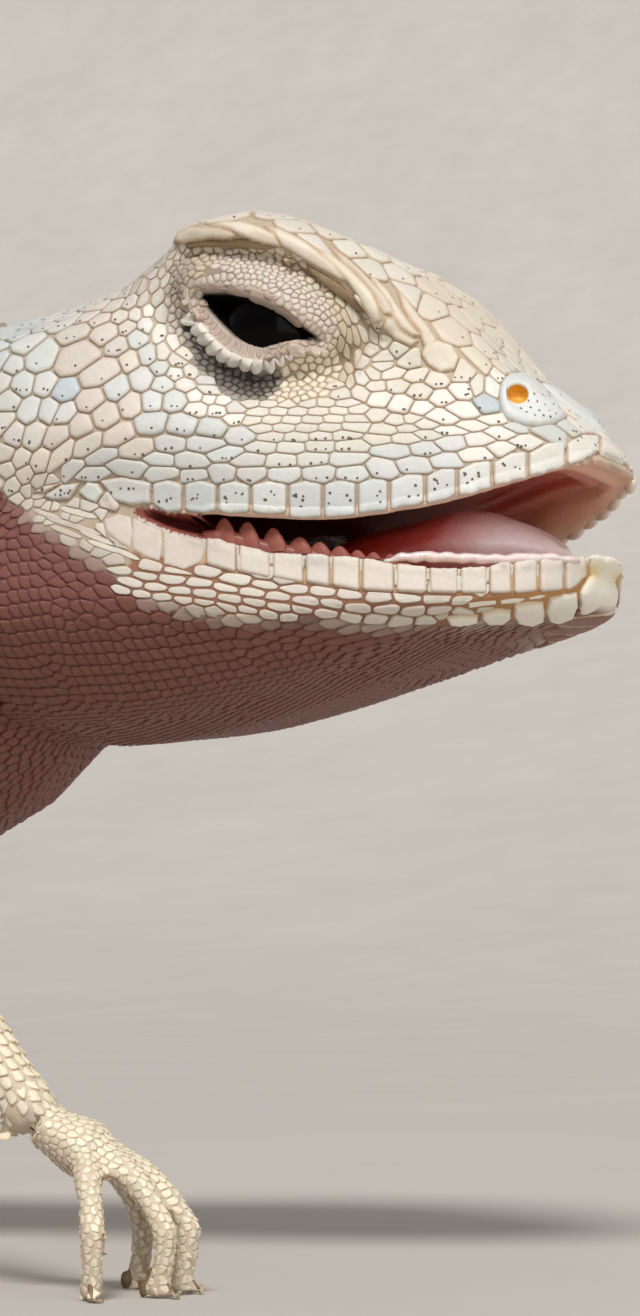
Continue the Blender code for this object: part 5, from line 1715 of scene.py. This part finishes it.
def dressSkin(made, name, head, stands):
    if head:
        spots, gapAway = sinkHoles(made)
    count = len(made.verts)
    tintList, wetList, dark = np.zeros((count, 4), np.float32), np.zeros(count, np.float32), np.zeros(count, bool)
    tintList[:, 3] = 1
    if head:
        field = fieldAt(spots)
        lidHole = inside(spots, eye["opening"])
        lidAway = awayFrom(spots, eye["opening"], True)
        gapNear = awayFrom(spots, mouth["gap"], True)
    for number, vert in enumerate(made.verts):
        if head:
            isMouth, deep = inMouth(vert.co, vert.normal)
            back = -vert.co.x
            colour = skinTint(vert.co, spots[number], tuple(field[3][number]), field[4][number])
            if isMouth:
                if deep < 0.9:
                    colour = mixed(mouth["rimTint"], mouth["lining"], max(0, deep) / 0.9)
                else:
                    colour = mixed(mouth["lining"], mouth["deep"], min(1, (deep - 0.9) / 1.4))
                    # painted shade: darker towards the back of the mouth
                    colour = mixed(colour, mouth["dark"], unit((back - 6) / 7))
                wetList[number] = unit(deep)
            elif 0.3 < back < 14.5 and abs(vert.co.y) > curveAt(mouth["lip"], back) - 1.2:
                if -0.45 < vert.co.z - curveAt(mouth["lowerRim"], back) < 0.3:
                    colour = mixed(tints["pale"], tints["jaw"], unit(back - 10.5))
                elif -0.3 < vert.co.z - curveAt(mouth["upperRim"], back) < 0.3:
                    colour = linear(222, 190, 168)
            # painted shade inside the open corner of the mouth
            if 9 < back < 16 and (gapAway[number] > 0 or gapNear[number] < 0.1) and abs(vert.co.y) > 4:
                colour = mixed(linear(134, 66, 52), mouth["dark"], min(1, gapAway[number] / 0.2))
            near = Vector((vert.co.x, -abs(vert.co.y), vert.co.z))
            eyeAway = (near - eye["centre"]).length
            # painted shade: the skin inside the lid opening is painted black, and darkens towards the opening's rim
            if lidHole[number] and eyeAway < 3.8:
                colour, dark[number] = (0.003, 0.002, 0.002), True
            elif lidAway[number] < 0.55 and eyeAway < 3.8:
                colour = mixed((0.02, 0.014, 0.012), linear(206, 188, 172), min(1, lidAway[number] / 0.14))
        else:
            place = vert.co
            nodeName = nearestNode(place)
            base = bodyTint("neck" if nodeName in ("head", "lower_jaw") else nodeName, place, vert.normal)
            if nodeName.startswith(("hand", "forearm", "foot")):
                colour = mixed(tuple(c * 0.8 for c in base), linear(190, 160, 124), 0.3)
            else:
                colour = mixed(tuple(c * 0.7 for c in base), linear(172, 138, 104), 0.35)
        tintList[number, :3] = colour
    piece = finished(name, made, bareSkin, stands)
    piece.data.attributes.new("tint", "FLOAT_COLOR", "POINT").data.foreach_set("color", tintList.ravel())
    piece.data.attributes.new("wet", "FLOAT", "POINT").data.foreach_set("value", wetList)
    if head:
        # painted shade: the skin inside the lids is painted black and doesn't shine
        piece.data.materials.append(lidShade)
        corners = np.zeros(len(piece.data.loops), np.int32)
        piece.data.loops.foreach_get("vertex_index", corners)
        inLids = dark[corners].reshape(-1, 3).sum(1) > 1
        piece.data.polygons.foreach_set("material_index", inLids.astype(np.int32))
    return piece


coatScales = {}
tracedScales = tracedRows()


def buildCoats():
    fixed = headRows()
    print("rows", len(fixed))
    loose = ringSeeds("throat") + skinSamples(headSkin, True)
    loose = thinned(fixed, loose)
    headCoat = evened(fixed + loose, 6)
    print("head scales", len(headCoat))
    bodyRows = ringSeeds("spine")
    for limb in limbs:
        bodyRows += ringSeeds(limb)
    print("rows of the body", len(bodyRows))
    bodyLoose = [scale for scale in bodyRows + skinSamples(bodySkin, False)
                 if bodyTree.ray_cast(scale.place + scale.normal * 0.03, scale.normal, 0.35)[0] is None]
    bodyLoose = thinned([], bodyLoose)
    bodyScales = evened(bodyLoose, 4)
    print("body scales", len(bodyScales))
    everything = outlined(headCoat + bodyScales)
    coatScales["coat_traced"] = [scale for scale in headCoat if scale.isTraced and scale.kind in ("labial", "chin")]
    groups = {}
    for scale in everything:
        if scale.node == "head":
            place = pictureSpot([scale.place])[0]
            name = "coat_head_" + ("right" if scale.place.y < 0 else "left")
            if place[1] > 585 - max(0, 200 - place[0]) * 0.3:
                name = "coat_throat"
        elif scale.node in ("neck", "torso"):
            name = "coat_back" if scale.normal.z > 0.1 else "coat_belly"
        elif scale.node.startswith("tail"):
            name = "coat_" + scale.node
        else:
            name = "coat_" + next(limb for limb, nodes in limbNodes.items() if scale.node in nodes)
        groups.setdefault(name, []).append(scale)
    coatScales.update(groups)
    return [buildCoat(name, scales, scaleCoat) for name, scales in sorted(groups.items())]


coats = buildCoats()


def buildTraced():
    # the traced scales are sculpted on a finer copy of the near half of the skin, and mirrored
    made = headSkin.copy()
    made.normal_update()
    bmesh.ops.bisect_plane(made, geom=made.verts[:] + made.edges[:] + made.faces[:], plane_co=(0, 0, 0),
                           plane_no=(0, 1, 0), clear_outer=True)
    spots = pictureSpot([v.co for v in made.verts])
    reached = np.zeros(len(spots), bool)
    for outline, _, _ in tracedScales:
        reached |= inside(spots, outline) | (awayFrom(spots, outline, True) < 0.2)
    flags = dict(zip(made.verts, reached))
    gone = [f for f in made.faces if not any(flags[v] for v in f.verts) or f.calc_center_median().x < -26
            or f.normal.dot(ahead) > 0.75]
    bmesh.ops.delete(made, geom=gone, context="FACES")
    bmesh.ops.triangulate(made, faces=made.faces)
    bmesh.ops.subdivide_edges(made, edges=made.edges, cuts=2, use_grid_fill=True)
    evenOut(made, [v for v in made.verts if not v.is_boundary], 4)
    made.normal_update()
    made.verts.ensure_lookup_table()
    made.verts.index_update()
    spots = pictureSpot([v.co for v in made.verts])
    # normals evened over the neighbours, so that the rims of the lips rise smoothly
    normals, places = np.array([v.normal for v in made.verts]), np.array([v.co for v in made.verts])
    ends = np.array([[e.verts[0].index, e.verts[1].index] for e in made.edges])
    for _ in range(10):
        total = normals.copy()
        np.add.at(total, ends[:, 0], normals[ends[:, 1]])
        np.add.at(total, ends[:, 1], normals[ends[:, 0]])
        atMiddle = np.abs(places[:, 1]) < 1e-4
        total[atMiddle, 1] = 0
        normals = total / np.maximum(1e-9, np.linalg.norm(total, axis=1))[:, None]
    # the scales sink into the skin past the rims and where it turns from the camera
    shown = np.clip((0.7 - normals @ np.array(ahead)) / 0.3, 0, 1)
    back = -places[:, 0]
    lip = np.interp(back, [k[0] for k in mouth["lip"]], [k[1] for k in mouth["lip"]])
    upper = np.interp(back, [k[0] for k in mouth["upperRim"]], [k[1] for k in mouth["upperRim"]])
    lower = np.interp(back, [k[0] for k in mouth["lowerRim"]], [k[1] for k in mouth["lowerRim"]])
    level = (upper + lower) / 2
    within = (places[:, 2] - level) * np.sign(places[:, 2] - level)
    shut = np.clip((back - 13.2) / 0.8, 0, 1)
    towards = np.where(places[:, 2] > level, normals[:, 2], -normals[:, 2])
    turned = np.where(places[:, 2] > level, 0.72, 0.95 + 0.45 * np.clip((2.1 - back) / 0.5, 0, 1))
    inward = np.clip((turned + towards) / 0.3, 0, 1)
    nearRim = (within < (upper - lower) / 2 + 0.7) & (np.abs(places[:, 1]) > lip - 2.2)
    shown = np.where(nearRim, shown * np.maximum(inward, shut), shown)
    lining = ((np.abs(places[:, 1]) < lip - 0.6) & (within < (upper - lower) / 2 + 2)
              & (back > np.where(places[:, 2] > level, 0.4, 2)) & (towards < -0.3))
    shown = np.where(~nearRim & lining, 0, shown)
    height, owner, edge = np.full(len(spots), -0.05), np.full(len(spots), -1), np.ones(len(spots))
    for number, (outline, kind, _) in enumerate(tracedScales):
        tall, shoulder, tan = traced[kind]
        within = np.flatnonzero(inside(spots, outline))
        if not len(within):
            continue
        gap = awayFrom(spots[within], outline, True)
        share = np.minimum(1, gap / shoulder)
        rise = (tall * np.sqrt(1 - (1 - share) ** 2) - 0.03) * shown[within] - 0.06 * (1 - shown[within])
        higher = rise > height[within]
        within, rise, gap = within[higher], rise[higher], gap[higher]
        height[within], owner[within], edge[within] = rise, number, np.clip(1 - gap / tan, 0, 1) * 0.9
    owner[shown < 0.02] = -1
    for vert, rise, normal, flat in zip(made.verts, height, normals, atMiddle):
        vert.co += Vector(normal) * rise
        if flat:
            vert.co.y = 0
    tintLayer, rimLayer = made.verts.layers.float_color.new("tint"), made.verts.layers.float.new("rim")
    uvLayer, ownerLayer = made.loops.layers.uv.new("OFBake"), made.verts.layers.int.new("owner")
    stained = np.exp(-((spots - np.array(stain["spot"])) ** 2).sum(1) / stain["spread"])
    for vert, number, rim, yellow in zip(made.verts, owner, edge, stained):
        tint = tracedScales[number][2] if number >= 0 else tints["shade"]
        vert[tintLayer], vert[rimLayer] = (*mixed(tint, stain["tint"], 0.7 * yellow), 1), rim
        vert[ownerLayer] = int(number)
    bmesh.ops.delete(made, geom=[f for f in made.faces if all(owner[v.index] < 0 for v in f.verts)], context="FACES")
    roots = {}
    for face in made.faces:
        number = max(vert[ownerLayer] for vert in face.verts)
        if number not in roots:
            middle = face.calc_center_median()
            roots[number] = (unwrapped("spine", middle), middle)
        root, start = roots[number]
        for loop in face.loops:
            off = loop.vert.co - start
            loop[uvLayer].uv = (root[0] + max(-0.0015, min(0.0015, off.x * 0.0015)),
                                root[1] + max(-0.0015, min(0.0015, off.z * 0.0015)))
    twin = bmesh.ops.duplicate(made, geom=made.verts[:] + made.edges[:] + made.faces[:])["geom"]
    bmesh.ops.scale(made, verts=[g for g in twin if isinstance(g, bmesh.types.BMVert)], vec=(1, -1, 1))
    mirroredFaces = [g for g in twin if isinstance(g, bmesh.types.BMFace)]
    bmesh.ops.reverse_faces(made, faces=mirroredFaces)
    made.normal_update()
    for vert in twin:
        if isinstance(vert, bmesh.types.BMVert) and -9 < vert.co.x < -1 and vert.co.z < 22.9:
            # painted shade: under the chin, where the far plates face down and away, they are darkened to the throat's
            # brown
            share = unit((-vert.normal.z - 0.45) / 0.15) * unit((0.1 - vert.normal.dot(ahead)) / 0.1)
            underChinShade = mixed(tuple(vert[tintLayer])[:3], linear(138, 92, 74), share * min(1, (-1 - vert.co.x) / 0.4))
            vert[tintLayer] = (*underChinShade, 1)
    for face in mirroredFaces:
        for loop in face.loops:
            loop[uvLayer].uv = (loop[uvLayer].uv[0], 1 - loop[uvLayer].uv[1])
    bmesh.ops.remove_doubles(made, verts=[v for v in made.verts if abs(v.co.y) < 1e-4], dist=0.0005)
    print("coat_traced", len(tracedScales), "scales", len(made.faces), "triangles")
    return finished("coat_traced", made, scaleCoat)


tracedPiece = buildTraced()

pits = {"radius": 0.048, "sides": 8}


def addPit(made, place, normal):
    disc = bmesh.ops.create_circle(made, cap_ends=True, cap_tris=True, segments=pits["sides"],
                                   radius=pits["radius"] * dice.uniform(0.7, 1.15))
    turn = normal.to_track_quat("Z", "Y").to_matrix().to_4x4()
    bmesh.ops.transform(made, verts=disc["verts"], matrix=Matrix.Translation(place + normal * 0.008) @ turn)


def buildPits():
    # dark sense pits near the lower edges of the larger scales of the head
    made = bmesh.new()
    for coat in [c for c in coats if c.name.startswith("coat_head")] + [tracedPiece]:
        surface = bmesh.new()
        surface.from_mesh(coat.data)
        bmesh.ops.transform(surface, matrix=toWork, verts=surface.verts)
        tree = BVHTree.FromBMesh(surface)
        surface.free()
        for scale in coatScales[coat.name]:
            if scale.kind not in ("plate", "smooth", "labial", "chin") or scale.size < 0.5 or scale.place.x < -21:
                continue
            labial = scale.kind == "labial" and scale.place.z > 24.4
            count = dice.choice((3, 4, 5, 7)) if labial else dice.choice((0, 1, 1, 2, 3) if scale.size < 0.9
                                                                         else (1, 1, 2))
            if scale.place.z < 24.4:
                count = dice.choice((0, 1, 2, 4)) if scale.kind == "chin" else dice.choice((0, 0, 0, 1))
            down = Vector((0, 0, -1)) - scale.normal * scale.normal.dot(Vector((0, 0, -1)))
            down = down.normalized() if down.length > 0.2 else scale.along
            level = scale.normal.cross(down)
            for _ in range(count):
                drop = dice.uniform(-0.35, 0.3) if labial else dice.uniform(0.42, 0.62)
                aside = level * dice.uniform(-0.5, 0.5) * max(scale.halves)
                spot = scale.place + down * drop * min(scale.halves) + aside
                place, normal, _, _ = tree.ray_cast(spot + scale.normal * 0.8, -scale.normal)
                if place is None or normal.dot(scale.normal) < 0.7 or (place - spot).length > 0.5:
                    continue
                addPit(made, place, normal)
    finished("pits", made, pitBrown)


buildPits()
dressSkin(headSkin, "skin_head", True, ["head", "lower_jaw"])
dressSkin(bodySkin, "skin_body", False, fleshNodes)


def buildEyes():
    for name, side in (("eye_right", 1), ("eye_left", -1)):
        made = bmesh.new()
        bmesh.ops.create_uvsphere(made, u_segments=48, v_segments=32, radius=eye["radius"])
        bmesh.ops.translate(made, verts=made.verts, vec=Vector((eye["centre"].x, eye["centre"].y * side,
                                                                eye["centre"].z)))
        finished(name + "_ball", made, eyeDark, [name])


def insideLip(x, y, inset):
    # the place behind a spot of the picture that lies inset from the near lip
    back, ray = 8, pictureRay(x, y)
    for _ in range(6):
        place = cameraPlace + ray * ((inset - curveAt(mouth["lip"], back) - cameraPlace.y) / ray.y)
        back = -place.x
    return place


def sweep(made, middles, radii, sides=10, flat=1.0):
    # a round cord through the middles
    rings = []
    for number, (middle, radius) in enumerate(zip(middles, radii)):
        ahead = middles[min(number + 1, len(middles) - 1)] - middles[max(0, number - 1)]
        side = ahead.cross(Vector((0, 0, 1))).normalized()
        up = side.cross(ahead).normalized()
        rings.append([middle + (side * math.cos(a) * flat + up * math.sin(a)) * radius
                      for a in (2 * math.pi * n / sides for n in range(sides))])
    loftRings(made, rings, True, True)


tongueLook = {
    # the front is pale, and is lightened further as painted light where the upper jaw shades it
    "rear": linear(176, 54, 44), "middle": linear(212, 112, 104), "front": linear(250, 232, 234),
    "edge": linear(238, 222, 218),
    # the folded edge along the lip: spots in the picture and half thickness
    "fold": ((384, 560, 0.12), (402, 556, 0.22), (425, 555, 0.26), (450, 556, 0.24), (474, 557, 0.24), (500, 558, 0.24),
             (524, 557, 0.28), (548, 557, 0.26), (566, 558, 0.22), (580, 560, 0.12)),
}


def buildTongue():
    made = newBmesh(["tongue"])
    made = voxelSkin(made, 0.14, 14)
    for vert in made.verts:
        groove = math.exp(-(vert.co.y / 0.35) ** 2) * unit(vert.normal.z)
        vert.co.z -= 0.12 * groove + curveAt(((4.4, -0.05), (5.6, -0.15), (7, 0.15), (9, 0.5), (11, 1)), -vert.co.x)
        vert.co += vert.normal * 0.12
    first = len(made.verts)
    knots = [(insideLip(x, y, 0.85), radius) for x, y, radius in tongueLook["fold"]]
    for side in (1, -1):
        middles, radii = [], []
        for (a, ra), (b, rb) in zip(knots, knots[1:]):
            for k in range(5):
                spot = a.lerp(b, k / 5)
                middles.append(Vector((spot.x, spot.y * side, spot.z + 0.02 * math.sin(9 * spot.x))))
                radii.append((ra + (rb - ra) * k / 5) * (1 + 0.1 * math.sin(13 * spot.x)))
        sweep(made, [m - Vector((0, 0, 0.06)) for m in middles], [r * 0.72 for r in radii], 10, 2)
    bmesh.ops.recalc_face_normals(made, faces=made.faces)
    made.verts.ensure_lookup_table()
    spots = pictureSpot([v.co for v in made.verts])
    tintList = np.ones((len(made.verts), 4), np.float32)
    for number, (x, y) in enumerate(spots):
        forward = unit((x - 436 + (y - 530) * 0.6) / 64)
        colour = mixed(tongueLook["rear"], tongueLook["middle"], unit((x - 380) / 110))
        tintList[number, :3] = tongueLook["edge"] if number >= first else mixed(colour, tongueLook["front"], forward)
    piece = finished("tongue_flesh", made, tongueFlesh, ["tongue"])
    piece.data.attributes.new("tint", "FLOAT_COLOR", "POINT").data.foreach_set("color", tintList.ravel())


def buildTeeth():
    made, gum = bmesh.new(), bmesh.new()
    for side in (1, -1):
        for x, y, base, height in teeth["tips"]:
            tip = insideLip(x, y, teeth["inset"])
            rings = []
            for share in (0, 0.06, 0.18, 0.4, 0.7, 1.0, 1.3):
                wide = base * min(1.15, 0.1 + 1.05 * share ** 0.62)
                rings.append([Vector((tip.x + wide * math.cos(a), tip.y * side + 0.36 * wide * math.sin(a),
                                      tip.z - height * share))
                              for a in (2 * math.pi * n / 12 for n in range(12))])
            loftRings(made, rings[::-1], True)
        middles = []
        for x, y in teeth["gum"]:
            spot = insideLip(x, y, teeth["inset"])
            middles.append(Vector((spot.x, spot.y * side, spot.z - 0.5)))
        sweep(gum, middles, [0.2] + [0.46] * (len(middles) - 2) + [0.2], 16, 0.4)
    for part, name, look in ((made, "teeth", toothInShade), (gum, "gums", gumFleshInShade)):
        bmesh.ops.recalc_face_normals(part, faces=part.faces)
        finished(name, part, look)


def buildLipBeads():
    # the scalloped edge of the far upper lip
    made = bmesh.new()
    walked, before = 0, None
    for step in range(380):
        back = 0.9 + step * 0.02
        level = (curveAt(mouth["upperRim"], back) + curveAt(mouth["lowerRim"], back)) / 2
        lowest = None
        for shift in (-0.3, -0.15, 0, 0.15, 0.3):
            here = headTree.ray_cast(Vector((-back, curveAt(mouth["lip"], back) + shift, level)), Vector((0, 0, 1)),
                                     3)[0]
            if here is not None and (lowest is None or here.z < lowest.z):
                lowest = here
        if lowest is None:
            continue
        walked += (lowest - before).length if before is not None else 9
        before = lowest
        if walked > 0.86:
            slope = (curveAt(mouth["lip"], back + 0.3) - curveAt(mouth["lip"], back - 0.3)) / 0.6
            fall = (curveAt(mouth["upperRim"], back + 0.3) - curveAt(mouth["upperRim"], back - 0.3)) / 0.6
            turn = Vector((-1, slope, fall)).to_track_quat("X", "Z").to_matrix().to_4x4()
            bmesh.ops.create_uvsphere(made, u_segments=20, v_segments=12, radius=0.5,
                                      matrix=Matrix.Translation(lowest + Vector((0, 0.06, 0.1))) @ turn
                                      @ Matrix.Diagonal((1, 0.42, 0.62, 1)))
            walked = 0
    finished("far_lip", made, farLipPaleAndLit)


def ringAround(spots, centre, share, lift, count):
    # points on the skin between a centre and an outline, raised by a lift
    corners = np.array(spots, float)
    lengths = np.linalg.norm(np.roll(corners, -1, axis=0) - corners, axis=1)
    total, made = np.concatenate([[0], np.cumsum(lengths)]), []
    for number in range(count):
        where = total[-1] * number / count
        k = int(np.searchsorted(total, where, side="right") - 1)
        part = (where - total[k]) / lengths[k]
        spot = corners[k] + (corners[(k + 1) % len(corners)] - corners[k]) * part
        spot = np.array(centre) + (spot - np.array(centre)) * share
        place, normal = onSkin(*spot)
        made.append(place + normal * lift)
    return made


def loftRings(made, rings, closeEnd, closeStart=False):
    loops = []
    for ring in rings:
        verts = [made.verts.new(p) for p in ring]
        loops.append([made.edges.new((a, b)) for a, b in zip(verts, verts[1:] + verts[:1])])
    for first, second in zip(loops, loops[1:]):
        bmesh.ops.bridge_loops(made, edges=first + second)
    if closeEnd:
        bmesh.ops.holes_fill(made, edges=loops[-1], sides=0)
    if closeStart:
        bmesh.ops.holes_fill(made, edges=loops[0], sides=0)


def buildNostrils():
    plate, cup = bmesh.new(), bmesh.new()
    centre, normal = onSkin(*nose["hole"])
    across = normal.cross(Vector((0, 0, 1))).normalized()
    up = across.cross(normal)
    start = ringAround(nose["plate"], nose["hole"], 1, 0, nose["count"])[0] - centre
    phase = math.atan2(start.dot(up), start.dot(across))
    turn = 1 if ringAround(nose["plate"], nose["hole"], 1, 0, nose["count"])[2].z > (centre + start).z else -1

    def hole(radius, lift):
        angles = [phase + turn * 2 * math.pi * k / nose["count"] for k in range(nose["count"])]
        return [centre + (across * math.cos(a) + up * math.sin(a)) * radius + normal * lift for a in angles]

    tall = nose["height"]
    outer = [ringAround(nose["plate"], nose["hole"], share, lift, nose["count"])
             for share, lift in ((1.0, -0.05), (0.98, 0.12), (0.9, 0.2), (0.75, 0.26), (0.6, tall))]
    inner = [hole(nose["radius"] * r, lift) for r, lift in ((1.25, tall + 0.01), (1.08, tall - 0.01),
                                                            (1.0, tall - 0.06),
                                                           (0.99, 0.05))]
    loftRings(plate, outer + inner, False)
    cupRings = [hole(nose["radius"] * r, lift) for r, lift in ((1.0, tall - 0.08), (0.96, 0.02), (0.85, -0.14),
                                                               (0.5, -0.24))]
    loftRings(cup, cupRings, True)
    dots = bmesh.new()
    plate.normal_update()
    surface = BVHTree.FromBMesh(plate)
    for spot in nose["pits"]:
        place, way = onSkin(*spot)
        out = surface.ray_cast(place + way * 1.0, -way, 2)
        if out[0] is not None:
            addPit(dots, out[0], out[1])
    for made, name, look in ((plate, "nostril_plates", noseHorn), (cup, "nostril_insides", nostrilInside),
                             (dots, "nostril_pits", pitBrown)):
        if made is not dots:
            bmesh.ops.recalc_face_normals(made, faces=made.faces)
        if sum(f.normal.dot(normal) for f in made.faces) < 0:
            bmesh.ops.reverse_faces(made, faces=made.faces)
        twin = bmesh.ops.duplicate(made, geom=made.verts[:] + made.edges[:] + made.faces[:])
        verts = [g for g in twin["geom"] if isinstance(g, bmesh.types.BMVert)]
        faces = [g for g in twin["geom"] if isinstance(g, bmesh.types.BMFace)]
        bmesh.ops.scale(made, verts=verts, vec=(1, -1, 1))
        bmesh.ops.reverse_faces(made, faces=faces)
        finished(name, made, look)


claws = {
    # heading of each hand or foot, turn and reach of its digits from the first, palm and height of the knuckles
    "arm_right": (25, -1, (48, 20, -6, -34, -78), (2.2, 2.6, 2.8, 2.7, 2.4)),
    "arm_left": (-10, 1, (48, 20, -6, -34, -78), (2.2, 2.6, 2.8, 2.7, 2.4)),
    "leg_right": (-38, -1, (34, 16, 2, -14, -48), (5.0, 8.6, 12.6, 12.0, 7.4)),
    "leg_left": (30, 1, (34, 16, 2, -14, -48), (5.0, 8.6, 12.6, 12.0, 7.4)),
}


def clawTips(limb):
    heading, side, fan, reach = claws[limb]
    wrist = Vector(limbs[limb][-1])

    def toward(turn):
        angle = math.radians(heading - side * turn)
        return Vector((math.cos(angle), math.sin(angle), 0))

    forward = toward(0)
    for turn, length in zip(fan, reach):
        out = toward(turn)
        if "arm" in limb:
            tip = wrist + forward * 0.55 * 2.3 + out * (0.5 + 0.92 * length)
            yield Vector((tip.x, tip.y, 0.3)), out
        else:
            tip = wrist + forward * 4.0 + (out - forward) * 0.85 + out * length
            yield Vector((tip.x, tip.y, 0.45)), out


def buildClaws():
    for limb in claws:
        made = bmesh.new()
        for tip, out in clawTips(limb):
            rings = []
            side = out.cross(Vector((0, 0, 1)))
            for k in range(9):
                t = k / 8
                radius = 0.25 * (1 - t) ** 0.7 + 0.02
                middle = tip + out * (1.2 * t - 0.4) + Vector((0, 0, 0.42 * math.sin(math.pi * min(1, t * 0.9)) - 0.1
                                                               - 0.18 * t))
                middle.z = max(middle.z, radius + 0.01)
                rings.append([middle + (side * math.cos(a) * 0.7 + Vector((0, 0, 1)) * math.sin(a)) * radius
                              for a in (2 * math.pi * n / 12 for n in range(12))])
            loftRings(made, rings, True, True)
        bmesh.ops.recalc_face_normals(made, faces=made.faces)
        finished("claws_" + limb, made, clawHorn)


buildEyes()
buildTongue()
buildTeeth()
buildLipBeads()
buildNostrils()
buildClaws()


stageLook = {
    "floor": linear(206, 200, 192),
    "clouds": linear(196, 190, 182),
    "cloudScale": 8,
    "roughness": (0.7, 0.85),
    "size": 3000,              # half the floor's side, and the wall's height, in mm
    "bend": 2300,              # of the sweep between floor and wall
    "segments": 24,
}


def buildStage():
    made = bmesh.new()
    side = stageLook["size"]
    corners = [made.verts.new((x, y, 0)) for x, y in ((-side, -side), (side, -side), (side, side), (-side, side))]
    made.faces.new(corners)
    edge = [e for e in made.edges if all(v.co.y > 0 for v in e.verts)]
    wall = bmesh.ops.extrude_edge_only(made, edges=edge)
    top = [v for v in wall["geom"] if isinstance(v, bmesh.types.BMVert)]
    bmesh.ops.translate(made, verts=top, vec=(0, 0, side))
    bend = [e for e in made.edges if all(abs(v.co.y - side) < 1 and v.co.z < 1 for v in e.verts)]
    bmesh.ops.bevel(made, geom=bend, offset=stageLook["bend"], segments=stageLook["segments"], profile=0.5,
                    affect="EDGES", material=-1)
    mesh = bpy.data.meshes.new("floor")
    bmesh.ops.transform(made, matrix=toFrame, verts=made.verts)
    made.to_mesh(mesh)
    made.free()
    mesh.materials.append(plainMaterial("paleFloor", stageLook["floor"], stageLook["clouds"], stageLook["cloudScale"],
                                        stageLook["roughness"], 0.1))
    mesh.shade_smooth()
    floor = addObject("floor", mesh)


def addLight(name, place, target, size, power, colour):
    data = bpy.data.lights.new(name, "AREA")
    data.size, data.energy, data.color = size, power, colour
    lamp = bpy.data.objects.new(name, data)
    lamp.location = toFrame @ Vector(place)
    lamp.rotation_mode = "QUATERNION"
    lamp.rotation_quaternion = ((toFrame @ Vector(target)) - lamp.location).to_track_quat("-Z", "Y")
    bpy.context.scene.collection.objects.link(lamp)


lightLook = {
    "sunPower": 2.36,
    "sunAngle": 0.3,
    "sunColour": (1, 0.995, 0.985),
    "sunWay": (-84, 250, -306),
    "fill": {"place": (290, -190, 20), "target": (-6, 0, 26), "size": 0.4, "power": 0.8, "colour": (1, 0.98, 0.96)},
    "sky": (0.86, 0.88, 0.92, 1),
    "skyPower": 0.3,
}


def buildLight():
    sun = bpy.data.lights.new("keyLight", "SUN")
    sun.energy, sun.angle, sun.color = lightLook["sunPower"], lightLook["sunAngle"], lightLook["sunColour"]
    lamp = bpy.data.objects.new("keyLight", sun)
    lamp.rotation_mode = "QUATERNION"
    lamp.rotation_quaternion = Vector(lightLook["sunWay"]).to_track_quat("-Z", "Y")
    bpy.context.scene.collection.objects.link(lamp)
    addLight("fillLight", **lightLook["fill"])
    world = bpy.data.worlds.new("studio")
    world.use_nodes = True
    world.node_tree.nodes["Background"].inputs["Color"].default_value = lightLook["sky"]
    world.node_tree.nodes["Background"].inputs["Strength"].default_value = lightLook["skyPower"]
    bpy.context.scene.world = world
    bpy.context.scene.view_settings.view_transform = "Standard"


def buildCamera():
    data = bpy.data.cameras.new("camera")
    data.lens = view["focal"] * data.sensor_width / view["longSide"]
    data.clip_start, data.clip_end = 0.005, 10
    camera = bpy.data.objects.new("camera", data)
    turn = Matrix((rightward, upward, -ahead)).transposed()
    camera.matrix_world = Matrix.Translation(toFrame @ cameraPlace) @ turn.to_4x4()
    bpy.context.scene.collection.objects.link(camera)
    bpy.context.scene.camera = camera


buildStage()
buildLight()
buildCamera()
